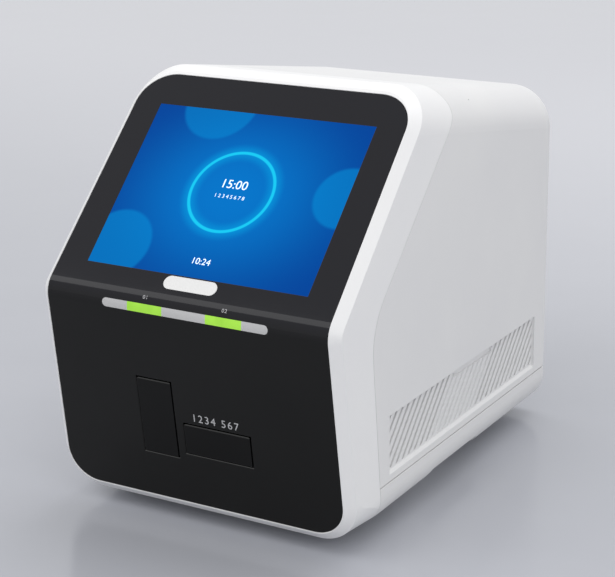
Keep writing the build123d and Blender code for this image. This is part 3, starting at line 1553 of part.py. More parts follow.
power_inlet.part.label = "power_inlet"
export_step(power_inlet.part, "parts/power_inlet.step")

pivot_y = panel_outer_y - rocker_pivot_back
half_throw = switch_throw / 2
with BuildPart() as switch_frame:
    with BuildSketch(Plane.XZ.offset(-panel_outer_y)):
        with Locations((inlet_x, switch_z)):
            Rectangle(switch_width + 2 * switch_rim, switch_height + 2 * switch_rim)
    extrude(amount=-switch_rim)
    with BuildSketch(Plane.XZ.offset(-panel_outer_y)):
        with Locations((inlet_x, switch_z)):
            Rectangle(switch_width, switch_height)
    extrude(amount=switch_depth)
    with BuildSketch(Plane.XZ.offset(-(panel_outer_y + switch_rim))):
        with Locations((inlet_x, switch_z)):
            Rectangle(
                2 * rocker_half_width + rocker_gap, 2 * rocker_half_height + 2 * rocker_gap
            )
    extrude(amount=switch_depth - wall + switch_rim, mode=Mode.SUBTRACT)
    with BuildSketch(Plane(origin=(inlet_x, pivot_y, switch_z), z_dir=(1, 0, 0))):
        Circle(rocker_pin_radius + shaft_clearance)
    extrude(amount=rocker_half_width + rocker_pin_length, both=True, mode=Mode.SUBTRACT)
switch_frame.part.label = "switch_frame"
export_step(switch_frame.part, "parts/switch_frame.step")

rocker_rise = rocker_half_height * tan(radians(half_throw))
with BuildPart() as switch_rocker:
    with BuildSketch(Plane(
        origin=(inlet_x - rocker_half_width, pivot_y, switch_z), x_dir=(0, 1, 0), z_dir=(1, 0, 0)
    )):
        with BuildLine():
            Polyline(
                (rocker_face, 0),
                (rocker_face + rocker_rise, rocker_half_height),
                (-screw_radius, rocker_half_height),
                (-rocker_half_height / 2, rocker_half_height / 2),
                (-rocker_half_height / 2, -rocker_half_height / 2),
                (-screw_radius, -rocker_half_height),
                (rocker_face + rocker_rise, -rocker_half_height),
                close=True,
            )
        make_face()
    extrude(amount=2 * rocker_half_width)
    with BuildSketch(Plane(origin=(inlet_x, pivot_y, switch_z), z_dir=(1, 0, 0))):
        Circle(rocker_pin_radius)
    extrude(amount=rocker_half_width + rocker_pin_length - shaft_clearance, both=True)
tilted_rocker = switch_rocker.part.rotate(
    Axis((inlet_x, pivot_y, switch_z), (1, 0, 0)), half_throw
)
tilted_rocker.label = "switch_rocker"
export_step(tilted_rocker, "parts/switch_rocker.step")

# ---- Sockets on the main board's rear edge ----
with BuildPart() as usb_sockets:
    with BuildSketch(Plane.XZ.offset(-socket_front_y)):
        with Locations(*[(x, board_top + usb_size[2] / 2) for x in usb_spots]):
            Rectangle(usb_size[0], usb_size[2])
            Rectangle(*usb_cavity, mode=Mode.SUBTRACT)
    extrude(amount=usb_size[1])
    with BuildSketch(Plane.XZ.offset(-(socket_front_y - usb_size[1]))):
        with Locations(*[(x, board_top + usb_size[2] / 2) for x in usb_spots]):
            Rectangle(usb_size[0], usb_size[2])
    extrude(amount=-wall)
    with BuildSketch(Plane.XZ.offset(-(socket_front_y - usb_size[1] + wall))):
        with Locations(*[(x, board_top + usb_size[2] * 0.6) for x in usb_spots]):
            Rectangle(usb_cavity[0] * 0.8, board_thickness)
    extrude(amount=-(usb_size[1] - 2 * wall))
usb_sockets.part.label = "usb_sockets"
export_step(usb_sockets.part, "parts/usb_sockets.step")

with BuildPart() as network_socket:
    with BuildSketch(Plane.XZ.offset(-socket_front_y)):
        with Locations((network_x, board_top + network_size[2] / 2)):
            Rectangle(network_size[0], network_size[2])
    extrude(amount=network_size[1])
    with BuildSketch(Plane.XZ.offset(-socket_front_y)):
        with Locations((network_x, board_top + network_size[2] / 2)):
            Rectangle(*network_cavity)
        with Locations((network_x, board_top + network_size[2] / 2 - network_cavity[1] / 2)):
            Rectangle(network_cavity[0] / 2, wall)
    extrude(amount=network_size[1] * 0.6, mode=Mode.SUBTRACT)
network_socket.part.label = "network_socket"
export_step(network_socket.part, "parts/network_socket.step")
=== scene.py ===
from math import radians

import bpy
from mathutils import Matrix, Vector


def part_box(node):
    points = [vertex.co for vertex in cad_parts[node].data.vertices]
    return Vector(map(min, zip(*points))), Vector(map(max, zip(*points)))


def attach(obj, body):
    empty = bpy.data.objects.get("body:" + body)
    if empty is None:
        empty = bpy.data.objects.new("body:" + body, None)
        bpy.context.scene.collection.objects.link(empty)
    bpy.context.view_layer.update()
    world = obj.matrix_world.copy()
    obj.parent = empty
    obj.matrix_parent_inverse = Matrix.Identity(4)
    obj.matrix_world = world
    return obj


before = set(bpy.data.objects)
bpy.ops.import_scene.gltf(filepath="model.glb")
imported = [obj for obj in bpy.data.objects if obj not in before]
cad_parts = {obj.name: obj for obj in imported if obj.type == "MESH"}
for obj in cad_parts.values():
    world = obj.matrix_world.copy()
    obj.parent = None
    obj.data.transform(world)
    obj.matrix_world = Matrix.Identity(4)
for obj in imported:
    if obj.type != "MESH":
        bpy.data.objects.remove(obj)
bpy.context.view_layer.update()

# The camera: a plain one where the photographer stood, to the right of the reader and a little
# above it. The picture is shown as it is lit, with no film look.
camera_data = bpy.data.cameras.new("photo_camera")
camera_data.sensor_width = 36
camera_data.lens = 99.13
camera = bpy.data.objects.new("photo_camera", camera_data)
camera.location = (0.556975, -0.98726, 0.46382)
camera.rotation_euler = (radians(73.346), 0, radians(29.586))
bpy.context.scene.collection.objects.link(camera)
bpy.context.scene.camera = camera
bpy.context.scene.view_settings.view_transform = "Standard"


# The table top: one wide lacquered sheet that runs out of sight, a little paler far behind the
# reader. The lacquer is satin, with soft worn patches, and shows the reader dimly.
def new_finish(name):
    """An empty finish: its material, the node tree and the shader that the output shows."""
    finish = bpy.data.materials.new(name)
    finish.use_nodes = True
    tree = finish.node_tree
    tree.nodes.clear()
    output = tree.nodes.new("ShaderNodeOutputMaterial")
    shader = tree.nodes.new("ShaderNodeBsdfPrincipled")
    tree.links.new(shader.outputs["BSDF"], output.inputs["Surface"])
    return finish, tree, shader


def tone(red, green, blue):
    """A colour as it is read from a screen, 0 to 255, made linear."""
    channels = [value / 255 for value in (red, green, blue)]
    return tuple(
        value / 12.92 if value <= 0.04045 else ((value + 0.055) / 1.055) ** 2.4
        for value in channels
    ) + (1,)


def surface_point(tree, stretch=(1, 1, 1)):
    """The place on the object in metres, stretched along the axes for brushed or drawn marks."""
    place = tree.nodes.new("ShaderNodeTexCoord")
    mapping = tree.nodes.new("ShaderNodeMapping")
    mapping.inputs["Scale"].default_value = stretch
    tree.links.new(place.outputs["Object"], mapping.inputs["Vector"])
    return mapping.outputs["Vector"]


def along_axis(tree, point, axis):
    """One of a point's three coordinates."""
    split = tree.nodes.new("ShaderNodeSeparateXYZ")
    tree.links.new(point, split.inputs["Vector"])
    return split.outputs[axis]


def mottle(tree, point, spots, detail=3, roughness=0.5):
    """A cloud of light and dark, with about that many spots to a metre."""
    cloud = tree.nodes.new("ShaderNodeTexNoise")
    cloud.inputs["Scale"].default_value = spots
    cloud.inputs["Detail"].default_value = detail
    cloud.inputs["Roughness"].default_value = roughness
    tree.links.new(point, cloud.inputs["Vector"])
    return cloud.outputs["Fac"]


def between(tree, share, low, high, start=0.0, end=1.0, smooth=False):
    """A number that goes from low to high while share goes from start to end."""
    scale = tree.nodes.new("ShaderNodeMapRange")
    if smooth:
        scale.interpolation_type = "SMOOTHSTEP"
    scale.inputs["From Min"].default_value = start
    scale.inputs["From Max"].default_value = end
    scale.inputs["To Min"].default_value = low
    scale.inputs["To Max"].default_value = high
    tree.links.new(share, scale.inputs["Value"])
    return scale.outputs["Result"]


def blend_tones(tree, share, low, high):
    """A colour between low and high; each is a colour or another node's output."""
    mix = tree.nodes.new("ShaderNodeMix")
    mix.data_type = "RGBA"
    colour_a, colour_b = mix.inputs[6], mix.inputs[7]
    for socket, value in ((colour_a, low), (colour_b, high)):
        if isinstance(value, tuple):
            socket.default_value = value
        else:
            tree.links.new(value, socket)
    tree.links.new(share, mix.inputs["Factor"])
    return mix.outputs[2]


table_size = 40
table_near = tone(176, 178, 185)
table_worn = tone(178, 180, 187)
table_far = tone(208, 209, 216)
fade_start = 0.1            # metres behind the reader's middle
fade_end = 1.6
bpy.ops.object.select_all(action="DESELECT")
bpy.ops.mesh.primitive_plane_add(size=table_size, location=(0, 0, 0))
table_top = bpy.context.object
table_top.name = "table_top"
satin, tree, shader = new_finish("table_satin")
point = surface_point(tree)
away = between(tree, along_axis(tree, point, "Y"), 0, 1, fade_start, fade_end, smooth=True)
wear = between(tree, mottle(tree, point, 9), 0, 1, 0.3, 0.7)
lacquer = blend_tones(tree, away, blend_tones(tree, wear, table_near, table_worn), table_far)
tree.links.new(lacquer, shader.inputs["Base Color"])
tree.links.new(between(tree, mottle(tree, point, 6), 0.15, 0.18), shader.inputs["Roughness"])
shader.inputs["Specular IOR Level"].default_value = 0.45
table_top.data.materials.append(satin)

# The surround: a white room that lights the reader evenly from all sides. The camera, the gloss
# and the glass see a plain pale backdrop in its place.
backdrop_tone = tone(225, 226, 228)
room_tone = (0.995, 0.995, 1.0, 1)
room_light = 0.9
world = bpy.data.worlds.new("pale_surround")
world.use_nodes = True
tree = world.node_tree
tree.nodes.clear()
output = tree.nodes.new("ShaderNodeOutputWorld")
seen = tree.nodes.new("ShaderNodeLightPath")
room = tree.nodes.new("ShaderNodeBackground")
room.inputs["Color"].default_value = room_tone
room.inputs["Strength"].default_value = room_light
backdrop = tree.nodes.new("ShaderNodeBackground")
backdrop.inputs["Color"].default_value = backdrop_tone
backdrop.inputs["Strength"].default_value = 1
shows_backdrop = seen.outputs["Is Camera Ray"]
for ray in ("Is Glossy Ray", "Is Transmission Ray"):
    added = tree.nodes.new("ShaderNodeMath")
    added.use_clamp = True
    tree.links.new(shows_backdrop, added.inputs[0])
    tree.links.new(seen.outputs[ray], added.inputs[1])
    shows_backdrop = added.outputs["Value"]
either = tree.nodes.new("ShaderNodeMixShader")
tree.links.new(shows_backdrop, either.inputs["Fac"])
tree.links.new(room.outputs["Background"], either.inputs[1])
tree.links.new(backdrop.outputs["Background"], either.inputs[2])
tree.links.new(either.outputs["Shader"], output.inputs["Surface"])
bpy.context.scene.world = world

# The lamps: three soft boxes. The largest hangs over and behind the reader, one stands in front
# on the left and draws the stripe along the bend, and one on the right lights the side.
for lamp_name, place, aim, width, depth, power in (
    ("overhead_box", (0.22, 0.62, 1.45), (-10, 0, 0), 1.2, 1.0, 4.7),
    ("front_box", (-0.776, -0.952, 1.322), (33.95, 0, 0), 1.4, 0.65, 5.0),
    ("right_box", (1.35, -1.05, 0.75), (66, 0, 52), 0.9, 0.7, 3.6),
):
    lamp_data = bpy.data.lights.new(lamp_name, "AREA")
    lamp_data.shape = "RECTANGLE"
    lamp_data.size = width
    lamp_data.size_y = depth
    lamp_data.energy = power
    lamp = bpy.data.objects.new(lamp_name, lamp_data)
    lamp.location = place
    lamp.rotation_euler = [radians(turn) for turn in aim]
    bpy.context.scene.collection.objects.link(lamp)


# The outer shells: the base tray, the deep cover and the bezel round the front, all moulded in
# white ABS with a fine spark-eroded grain, the bezel from a lighter batch than the other two.
def raised(tree, height, depth, under=None):
    """A surface raised by height times depth metres, over another raised surface if given."""
    bump = tree.nodes.new("ShaderNodeBump")
    bump.inputs["Distance"].default_value = depth
    tree.links.new(height, bump.inputs["Height"])
    if under is not None:
        tree.links.new(under, bump.inputs["Normal"])
    return bump.outputs["Normal"]


def rounded_edge(tree, radius):
    """A surface whose sharp edges catch the light as if rounded to the radius."""
    rounded = tree.nodes.new("ShaderNodeBevel")
    rounded.samples = 6
    rounded.inputs["Radius"].default_value = radius
    return rounded.outputs["Normal"]


def moulded_plastic(name, colour, shade, gloss=0.42, grain=2600, depth=0.00002, edge=0.0):
    """Moulded plastic: two near tones in slow clouds, a fine grain and slightly uneven gloss."""
    finish, tree, shader = new_finish(name)
    point = surface_point(tree)
    flow = between(tree, mottle(tree, point, 11, detail=4), 0, 1, 0.3, 0.7)
    tree.links.new(blend_tones(tree, flow, colour, shade), shader.inputs["Base Color"])
    patch = mottle(tree, point, 60, detail=4)
    tree.links.new(between(tree, patch, gloss - 0.06, gloss + 0.06), shader.inputs["Roughness"])
    under = rounded_edge(tree, edge) if edge else None
    sparked = raised(tree, mottle(tree, point, grain, detail=2), depth, under)
    tree.links.new(sparked, shader.inputs["Normal"])
    return finish


def dress(node, finish):
    """Gives a CAD node its finish."""
    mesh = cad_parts[node].data
    mesh.materials.clear()
    mesh.materials.append(finish)


shell_edge = 0.0005
bezel_white = moulded_plastic(
    "bezel_white", tone(236, 236, 237), tone(239, 239, 239), gloss=0.38, edge=shell_edge
)
cover_white = moulded_plastic(
    "cover_white", tone(225, 225, 226), tone(229, 229, 229), gloss=0.46, edge=shell_edge
)
base_white = moulded_plastic(
    "base_white", tone(224, 224, 225), tone(228, 228, 228), gloss=0.46, edge=shell_edge
)
dress("front_bezel", bezel_white)
dress("main_cover", cover_white)
dress("base_tray", base_white)


# Four round rubber feet, each held by a zinc plated socket head screw from below. The rubber is
# matt, with a dusty bloom and small pits.
def rolled_metal(name, colour, shade, gloss=0.35, along=(1, 1, 1), lines=900):
    """Bare or plated metal: two near tones, drawn lines along one way and uneven gloss."""
    finish, tree, shader = new_finish(name)
    clouds = mottle(tree, surface_point(tree), 45, detail=4)
    drawn = mottle(tree, surface_point(tree, along), lines, detail=2)
    tree.links.new(blend_tones(tree, clouds, colour, shade), shader.inputs["Base Color"])
    shader.inputs["Metallic"].default_value = 1
    tree.links.new(between(tree, drawn, gloss - 0.08, gloss + 0.1), shader.inputs["Roughness"])
    tree.links.new(raised(tree, drawn, 0.000008), shader.inputs["Normal"])
    return finish


foot_rubber = moulded_plastic(
    "foot_rubber", tone(30, 30, 31), tone(42, 42, 43), gloss=0.82, grain=1600, depth=0.00006
)
dress("rubber_feet", foot_rubber)
zinc_steel = rolled_metal("zinc_steel", tone(188, 190, 196), tone(204, 205, 208), gloss=0.32)
dress("foot_screws", zinc_steel)


# The front panel: one gloss black moulding that bends at the knee, with the doors' openings cut
# in its lower half. It is polished, with the faint waviness that moulded gloss plastic has. Its
# face from the bend up is painted a lighter grey, a painted reflection of the bright room above.
def gloss_panel(name, colour, shade, gloss, shine, painted_reflection=None):
    """Polished black plastic with a slow wave and faint dust; if given, a lighter tone is painted
    over the bend and the face above it, a painted reflection.
    """
    finish, tree, shader = new_finish(name)
    point = surface_point(tree)
    flow = between(tree, mottle(tree, point, 14, detail=4), 0, 1, 0.35, 0.65)
    black = blend_tones(tree, flow, colour, shade)
    if painted_reflection:
        # A lighter grey painted from the bend up over the upper face: a painted reflection of the
        # bright room, not a colour of the plastic.
        bend_low, bend_high = 0.146, 0.158
        over = between(tree, along_axis(tree, point, "Z"), 0, 1, bend_low, bend_high, smooth=True)
        black = blend_tones(tree, over, black, painted_reflection)
    tree.links.new(black, shader.inputs["Base Color"])
    shader.inputs["Specular IOR Level"].default_value = shine
    dust = between(tree, mottle(tree, point, 900, detail=2), 0, 0.06, 0.62, 0.8)
    haze = between(tree, mottle(tree, point, 25), gloss - 0.03, gloss + 0.03)
    dusty_haze = tree.nodes.new("ShaderNodeMath")
    tree.links.new(dust, dusty_haze.inputs[0])
    tree.links.new(haze, dusty_haze.inputs[1])
    tree.links.new(dusty_haze.outputs["Value"], shader.inputs["Roughness"])
    wave = raised(tree, mottle(tree, point, 30, detail=1), 0.00002, rounded_edge(tree, 0.0004))
    tree.links.new(wave, shader.inputs["Normal"])
    return finish


panel_black = gloss_panel(
    "panel_black", tone(10, 10, 9), tone(13, 13, 12), gloss=0.07, shine=0.28,
    # The upper face's lighter tone, a painted reflection.
    painted_reflection=tone(24, 24, 29),
)
dress("front_fascia", panel_black)

# The name plate: a thin pill of plain white moulded plastic, bonded to the face of the panel
# under the screen.
plate_white = moulded_plastic(
    "plate_white", tone(222, 222, 221), tone(226, 226, 225), gloss=0.3, grain=3000, depth=0.00001
)
dress("name_plate", plate_white)

# The two drawer doors: plates moulded in the panel's black, with a slightly duller polish, each
# fixed to the front of its tray.
door_black = gloss_panel("door_black", tone(9, 9, 9), tone(12, 12, 12), gloss=0.12, shine=0.2)
dress("drawer_a_door", door_black)
dress("drawer_b_door", door_black)

# The screen: glass bonded over a lit display. It shows a timer in a glowing ring over a blue
# ground with soft round lights, all drawn for this part.
knee = (0, -0.164535, 0.1547)
upper_up = (0, 0.7046, 0.7096)
upper_out = (0, -0.7096, 0.7046)


def measured(tree, operation, first, second=0):
    """One sum; each value is a number or another node's output."""
    step = tree.nodes.new("ShaderNodeMath")
    step.operation = operation
    for socket, value in enumerate((first, second)):
        if isinstance(value, (int, float)):
            step.inputs[socket].default_value = value
        else:
            tree.links.new(value, step.inputs[socket])
    return step.outputs["Value"]


def across_and_up(tree, up, start):
    """How far right of the middle and how far up a face a point is, in millimetres."""
    point = surface_point(tree)
    rise = tree.nodes.new("ShaderNodeVectorMath")
    rise.operation = "DOT_PRODUCT"
    rise.inputs[1].default_value = up
    tree.links.new(point, rise.inputs[0])
    start_rise = sum(a * b for a, b in zip(up, start))
    right = measured(tree, "MULTIPLY", along_axis(tree, point, "X"), 1000)
    above = measured(
        tree, "MULTIPLY", measured(tree, "SUBTRACT", rise.outputs["Value"], start_rise), 1000
    )
    return right, above


def reach(tree, right, above, centre, stretch=1.0):
    """The distance from centre, in millimetres, with the way across divided by stretch."""
    dx = measured(tree, "DIVIDE", measured(tree, "SUBTRACT", right, centre[0]), stretch)
    dy = measured(tree, "SUBTRACT", above, centre[1])
    both = measured(
        tree, "ADD", measured(tree, "MULTIPLY", dx, dx), measured(tree, "MULTIPLY", dy, dy)
    )
    return measured(tree, "SQRT", both)


screen_middle = (0, 84.05)  # millimetres across and up from the knee, as the rest
glow_reach = 92
glow_core = 6
glow_stretch = 1.2
ground_blue = tone(0, 72, 162)
glow_blue = tone(0, 122, 210)
round_lights = (            # centre, radius and strength of each
    ((-66, 38), 25, 0.5),
    ((-34, 150), 27, 0.45),
    ((80, 92), 22, 0.5),
)
light_blur = 1.5
light_blue = tone(0, 148, 226)
ring_centre = (0, 86)
ring_radius = 29.5
ring_haze = 8
ring_outer = 1.5            # half the lit line's width, with its soft edge
ring_inner = 0.6
haze_blue = tone(0, 176, 244)
ring_blue = tone(25, 212, 255)
screen_blue, tree, shader = new_finish("screen_blue")
right, above = across_and_up(tree, upper_up, knee)
from_middle = reach(tree, right, above, screen_middle, stretch=glow_stretch)
glow = between(tree, from_middle, 0, 1, glow_reach, glow_core, smooth=True)
picture = blend_tones(tree, glow, ground_blue, glow_blue)
for centre, radius, strength in round_lights:
    disc = between(
        tree, reach(tree, right, above, centre), 0, strength,
        radius + light_blur, radius - light_blur, smooth=True,
    )
    picture = blend_tones(tree, disc, picture, light_blue)
from_centre = reach(tree, right, above, ring_centre)
off_ring = measured(tree, "ABSOLUTE", measured(tree, "SUBTRACT", from_centre, ring_radius))
haze = between(tree, off_ring, 0, 0.45, ring_haze, 0, smooth=True)
picture = blend_tones(tree, haze, picture, haze_blue)
line = between(tree, off_ring, 0, 1, ring_outer, ring_inner, smooth=True)
picture = blend_tones(tree, line, picture, ring_blue)
tree.links.new(picture, shader.inputs["Emission Color"])
shader.inputs["Emission Strength"].default_value = 0.92
shader.inputs["Base Color"].default_value = (0.0005, 0.001, 0.002, 1)
shader.inputs["Specular IOR Level"].default_value = 0.03
smears = mottle(tree, surface_point(tree), 30)
tree.links.new(between(tree, smears, 0.06, 0.12), shader.inputs["Roughness"])
dress("touch_glass", screen_blue)


# The figures on the screen: a time in the ring, a row of step numbers under it and a clock low
# on the picture, each a thin lit film on the glass.
def lit_ink(name, colour, edge, strength):
    """Lit or printed marks: one tone that thins out a little in a fine speckle."""
    finish, tree, shader = new_finish(name)
    speckle = between(tree, mottle(tree, surface_point(tree), 2400, detail=2), 0, 1, 0.25, 0.6)
    ink = blend_tones(tree, speckle, edge, colour)
    tree.links.new(ink, shader.inputs["Base Color"])
    tree.links.new(ink, shader.inputs["Emission Color"])
    shader.inputs["Emission Strength"].default_value = strength
    shader.inputs["Roughness"].default_value = 0.5
    return finish


MM = 0.001
numeral_share = 0.69        # a numeral's height in its type size
ink_lift = 0.00006          # metres above the surface
panel_recess = 0.4          # millimetres behind the bezel's rim
rightward = (1, 0, 0)


def numerals(
    name, words, height, foot, up, out, right, onto, finish, body="root", spread=1.0
):
    """Plain numerals as a film of ink on a node's surface: they stand on foot and face out."""
    bpy.ops.object.select_all(action="DESELECT")
    bpy.ops.object.text_add()
    marks = bpy.context.object
    marks.name = name
    marks.data.body = words
    marks.data.align_x = "CENTER"
    marks.data.size = height / numeral_share
    marks.data.space_character = spread
    marks.data.resolution_u = 6
    bpy.ops.object.convert(target="MESH")
    marks = bpy.context.object
    turn = Matrix((Vector(right), Vector(up), Vector(out))).transposed().to_4x4()
    marks.matrix_world = Matrix.Translation(Vector(foot)) @ turn
    bpy.ops.object.transform_apply(location=True, rotation=True, scale=True)
    laid = marks.modifiers.new("laid_on", "SHRINKWRAP")
    laid.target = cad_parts[onto]
    laid.wrap_mode = "ABOVE_SURFACE"
    laid.offset = ink_lift
    bpy.ops.object.modifier_apply(modifier=laid.name)
    film = marks.modifiers.new("film", "SOLIDIFY")
    film.thickness = ink_lift / 2
    bpy.ops.object.modifier_apply(modifier=film.name)
    marks.data.materials.clear()
    marks.data.materials.append(finish)
    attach(marks, body)


def on_panel(right, above, up, out):
    """The point right of the middle and above the knee on a front face, in millimetres."""
    across = (right, 0, 0)
    return tuple(
        knee[i] + (across[i] + above * up[i] - panel_recess * out[i]) * MM for i in range(3)
    )


screen_ink = lit_ink("screen_ink", tone(225, 240, 255), tone(200, 228, 250), strength=0.5)
for name, words, height, above_knee in (
    ("timer_numerals", "15:00", 6.2, 88.5),
    ("step_numerals", "1 2 3 4 5 6 7 8", 2.6, 81.0),
    ("clock_numerals", "10:24", 4.4, 32.0),
):
    numerals(
        name, words, height * MM, on_panel(0, above_knee, upper_up, upper_out),
        upper_up, upper_out, rightward, onto="touch_glass", finish=screen_ink,
    )


# The light bar under the knee: a grey diffuser with rounded ends, and two green windows in it
# that show which drawer is busy, lit from the small board behind.
def lit_lens(name, colour, core, strength, spots):
    """A lit moulded lens: brighter spots over the lamps behind, and a fine grain."""
    finish, tree, shader = new_finish(name)
    point = surface_point(tree)
    cloud = between(tree, mottle(tree, point, spots, detail=1), 0, 0.6, 0.3, 0.7, smooth=True)
    lit_tone = blend_tones(tree, cloud, colour, core)
    tree.links.new(lit_tone, shader.inputs["Emission Color"])
    tree.links.new(lit_tone, shader.inputs["Base Color"])
    shader.inputs["Emission Strength"].default_value = strength
    shader.inputs["Roughness"].default_value = 0.35
    fine = raised(tree, mottle(tree, point, 2400, detail=2), 0.00002)
    tree.links.new(fine, shader.inputs["Normal"])
    return finish


bar_grey = moulded_plastic("bar_grey", tone(190, 190, 191), tone(198, 198, 198), gloss=0.4)
dress("light_bar_lens", bar_grey)
window_green = lit_lens(
    "window_green", tone(134, 188, 54), tone(150, 204, 66), strength=0.56, spots=90
)
dress("status_windows", window_green)
led_white = lit_lens(
    "led_white", tone(235, 240, 225), tone(250, 250, 240), strength=0.6, spots=400
)
dress("status_leds", led_white)

# The printing on the panel: a plain numeral over each window and a row of plain numerals over
# the right drawer, screen printed in thin white ink.
lower_up = (0, -0.1513, 0.9885)
lower_out = (0, -0.9885, -0.1513)
panel_ink = lit_ink("panel_ink", tone(196, 196, 198), tone(160, 160, 163), strength=0.0)
for name, words, right_of in (("window_numerals_a", "01", -28), ("window_numerals_b", "02", 30)):
    numerals(
        name, words, 2.5 * MM, on_panel(right_of, 2.6, upper_up, upper_out), upper_up, upper_out,
        rightward, onto="front_fascia", finish=panel_ink, spread=1.15,
    )
numerals(
    "door_numerals", "1234 567", 5.2 * MM, on_panel(16.5, -79, lower_up, lower_out),
    lower_up, lower_out, rightward, onto="front_fascia", finish=panel_ink,
    spread=1.25,
)


# The boards: glass fibre laminate under green solder mask, with etched tracks that show through
# it as raised lines, black moulded chips and sockets on them, and hexagonal brass standoffs.
def circuit_board(name, mask, track, weave_tone):
    """Green laminate: raised tracks in a fine right-angled pattern under a glossy mask."""
    finish, tree, shader = new_finish(name)
    point = surface_point(tree)
    tracks = tree.nodes.new("ShaderNodeTexBrick")
    tracks.inputs["Scale"].default_value = 160
    tracks.inputs["Mortar Size"].default_value = 0.06
    tracks.inputs["Color1"].default_value = (1, 1, 1, 1)
    tracks.inputs["Color2"].default_value = (0.8, 0.8, 0.8, 1)
    tracks.inputs["Mortar"].default_value = (0, 0, 0, 1)
    tree.links.new(point, tracks.inputs["Vector"])
    weave = mottle(tree, point, 700, detail=2)
    laid = blend_tones(tree, tracks.outputs["Fac"], mask, track)
    shade = blend_tones(tree, between(tree, weave, 0, 0.35), laid, weave_tone)
    tree.links.new(shade, shader.inputs["Base Color"])
    tree.links.new(between(tree, weave, 0.22, 0.36), shader.inputs["Roughness"])
    tree.links.new(raised(tree, tracks.outputs["Fac"], 0.00004), shader.inputs["Normal"])
    return finish


board_green = circuit_board(
    "upright_board", tone(22, 84, 44), tone(46, 122, 66), tone(12, 48, 26)
)
for board in ("light_board", "display_board", "detector_boards", "main_board"):
    dress(board, board_green)
chip_black = moulded_plastic(
    "chip_black", tone(24, 24, 26), tone(38, 38, 40), gloss=0.5, grain=3200
)
dress("display_chips", chip_black)
dress("board_parts", chip_black)
brass = rolled_metal("brass", tone(196, 164, 92), tone(214, 186, 118), gloss=0.3)
dress("display_standoffs", brass)
dress("board_standoffs", brass)

# The sheet metal inside: the display's module and bracket, the chassis plate and the supply's
# can, zinc plated and folded, with the rolling lines left in.
lines_across = (1, 20, 1)
lines_along = (20, 1, 1)
for node, name, colour, shade, gloss, way in (
    ("lcd_module", "module_steel", (168, 170, 174), (190, 191, 194), 0.38, lines_across),
    ("display_bracket", "bracket_steel", (172, 174, 178), (194, 196, 199), 0.4, lines_along),
    ("chassis_plate", "chassis_steel", (164, 166, 171), (186, 188, 191), 0.42, lines_along),
    ("power_supply", "supply_steel", (176, 178, 182), (198, 199, 202), 0.36, lines_across),
):
    dress(node, rolled_metal(name, tone(*colour), tone(*shade), gloss, along=way, lines=120))
dress("bracket_screws", zinc_steel)

# The two drawers: each is a grey moulded tray with a toothed rack along it, slides by a plastic
# runner on a steel rail over an aluminium beam, and is driven by a small motor through a pinion.
lines_down_rail = (20, 1, 20)
tray_grey = moulded_plastic("tray_grey", tone(150, 152, 156), tone(160, 162, 165), gloss=0.5)
gear_plastic = moulded_plastic(
    "gear_plastic", tone(214, 208, 190), tone(222, 217, 202), gloss=0.45
)
runner_plastic = moulded_plastic("runner_plastic", tone(58, 60, 64), tone(70, 72, 76), gloss=0.5)
rail_steel = rolled_metal(
    "rail_steel", tone(186, 188, 192), tone(208, 209, 211), gloss=0.26,
    along=lines_down_rail, lines=90,
)
beam_aluminium = rolled_metal(
    "beam_aluminium", tone(178, 180, 184), tone(196, 197, 200), gloss=0.44,
    along=lines_down_rail, lines=90,
)
motor_black = moulded_plastic("motor_black", tone(34, 34, 36), tone(46, 46, 48), gloss=0.4)
for drawer in ("drawer_a_", "drawer_b_"):
    dress(drawer + "tray", tray_grey)
    dress(drawer + "rack", gear_plastic)
    dress(drawer + "pinion", gear_plastic)
    dress(drawer + "runner", runner_plastic)
    dress(drawer + "rail", rail_steel)
    dress(drawer + "beam", beam_aluminium)
    dress(drawer + "shaft", zinc_steel)
    dress(drawer + "motor", motor_black)

# The reading station over the drawers: a black bridge, two optical heads with glass lenses and
# a lamp beside each, all matt so that no stray light comes back.
head_black = moulded_plastic(
    "head_black", tone(26, 26, 27), tone(36, 36, 37), gloss=0.7, grain=1800, depth=0.00003
)
lamp_black = moulded_plastic("lamp_black", tone(44, 44, 46), tone(56, 56, 58), gloss=0.45)
dress("reader_bridge", head_black)
dress("reader_head_a", head_black)
dress("reader_head_b", head_black)
dress("reader_lamps", lamp_black)
lens_glass, tree, shader = new_finish("lens_glass")
point = surface_point(tree)
coating = blend_tones(
    tree, between(tree, mottle(tree, point, 120, detail=2), 0, 1, 0.3, 0.7),
    tone(88, 96, 132), tone(112, 96, 140),
)
tree.links.new(coating, shader.inputs["Base Color"])
polish = between(tree, mottle(tree, point, 300, detail=2), 0.03, 0.07)
tree.links.new(polish, shader.inputs["Roughness"])
shader.inputs["Transmission Weight"].default_value = 0.8
shader.inputs["IOR"].default_value = 1.52
dress("reader_lenses", lens_glass)

# The rest of the inside: the speaker, held out from the bridge on a moulded post, and the heat
# sink, an extruded block of bare aluminium on the main board's processor.
speaker_black = moulded_plastic(
    "speaker_black", tone(30, 30, 32), tone(44, 44, 46), gloss=0.75, grain=1500, depth=0.00004
)
sink_aluminium = rolled_metal(
    "sink_aluminium", tone(150, 152, 156), tone(174, 175, 178), gloss=0.5,
    along=(1, 1, 20), lines=90,
)
dress("speaker", speaker_black)
dress("speaker_mount", runner_plastic)
dress("heat_sink", sink_aluminium)


# The rear panel: a flat steel plate under baked powder paint, held by socket head screws, with
# the fan in its black moulded frame behind the round holes of the grille.
def powder_coat(name, colour, shade):
    """Baked powder paint: an orange-peel skin with a slight speckle."""
    finish, tree, shader = new_finish(name)
    point = surface_point(tree)
    peel = mottle(tree, point, 620, detail=2, roughness=0.4)
    speckle = between(tree, peel, 0, 1, 0.35, 0.65)
    tree.links.new(blend_tones(tree, speckle, colour, shade), shader.inputs["Base Color"])
    tree.links.new(between(tree, mottle(tree, point, 40), 0.42, 0.54), shader.inputs["Roughness"])
    tree.links.new(raised(tree, peel, 0.00012), shader.inputs["Normal"])
    return finish


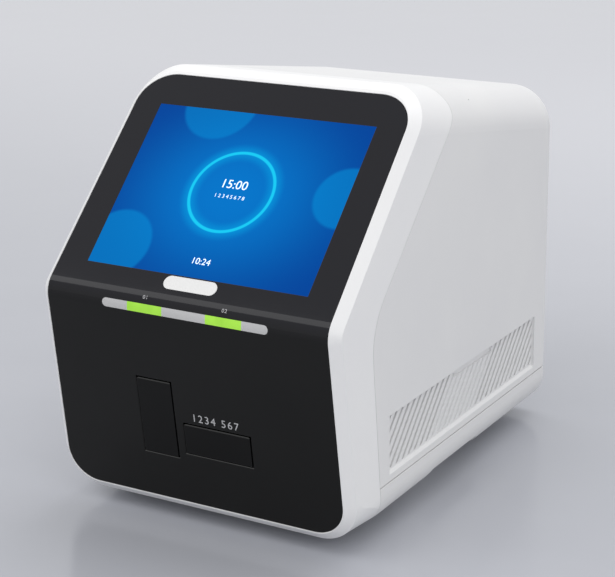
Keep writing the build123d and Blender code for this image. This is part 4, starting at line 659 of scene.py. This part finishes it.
rear_grey = powder_coat("rear_grey", tone(158, 160, 165), tone(168, 170, 174))
fan_black = moulded_plastic(
    "fan_black", tone(28, 28, 29), tone(38, 38, 39), gloss=0.5, grain=2200, depth=0.00003
)
dress("rear_panel", rear_grey)
dress("rear_screws", zinc_steel)
dress("fan_frame", fan_black)
dress("fan_rotor", fan_black)

# The mains inlet and, over it, the rocker switch, both moulded in black and clipped into the
# rear panel. The rocker carries a 1 and a 0 in white ink.
inlet_black = moulded_plastic("inlet_black", tone(24, 24, 25), tone(34, 34, 35))
rocker_black = moulded_plastic(
    "rocker_black", tone(22, 22, 23), tone(30, 30, 31), gloss=0.28, depth=0.00001
)
dress("power_inlet", inlet_black)
dress("switch_frame", inlet_black)
dress("switch_rocker", rocker_black)
rocker_x, rocker_face_y, rocker_z = -0.062, 0.1612, 0.104
for name, words, rise in (("rocker_on", "1", 4.2), ("rocker_off", "0", -7.4)):
    numerals(
        name, words, 3.2 * MM, (rocker_x, rocker_face_y, rocker_z + rise * MM),
        up=(0, 0, 1), out=(0, 1, 0), right=(-1, 0, 0), onto="switch_rocker",
        finish=panel_ink, body="switch",
    )


# The data sockets and the network socket: pressed steel shells round a dark plastic core, on
# the main board and a little proud of the rear panel.
def lined_socket(name, mouth, shell, bright, lining):
    """A pressed steel socket shell that is lined with dark plastic from just inside its mouth."""
    finish, tree, shader = new_finish(name)
    point = surface_point(tree)
    bare = between(tree, along_axis(tree, point, "Y"), 0, 1, mouth - 0.0012, mouth - 0.0008)
    spread = mottle(tree, point, 260)
    steel = blend_tones(tree, spread, shell, bright)
    tree.links.new(blend_tones(tree, bare, lining, steel), shader.inputs["Base Color"])
    tree.links.new(bare, shader.inputs["Metallic"])
    tree.links.new(between(tree, spread, 0.24, 0.4), shader.inputs["Roughness"])
    fine = raised(tree, mottle(tree, point, 1800, detail=2), 0.00001)
    tree.links.new(fine, shader.inputs["Normal"])
    return finish


socket_steel = tone(194, 195, 198)
socket_bright = tone(212, 213, 215)
socket_lining = tone(26, 26, 28)
for node in ("usb_sockets", "network_socket"):
    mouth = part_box(node)[1].y
    dress(node, lined_socket(node + "_steel", mouth, socket_steel, socket_bright, socket_lining))
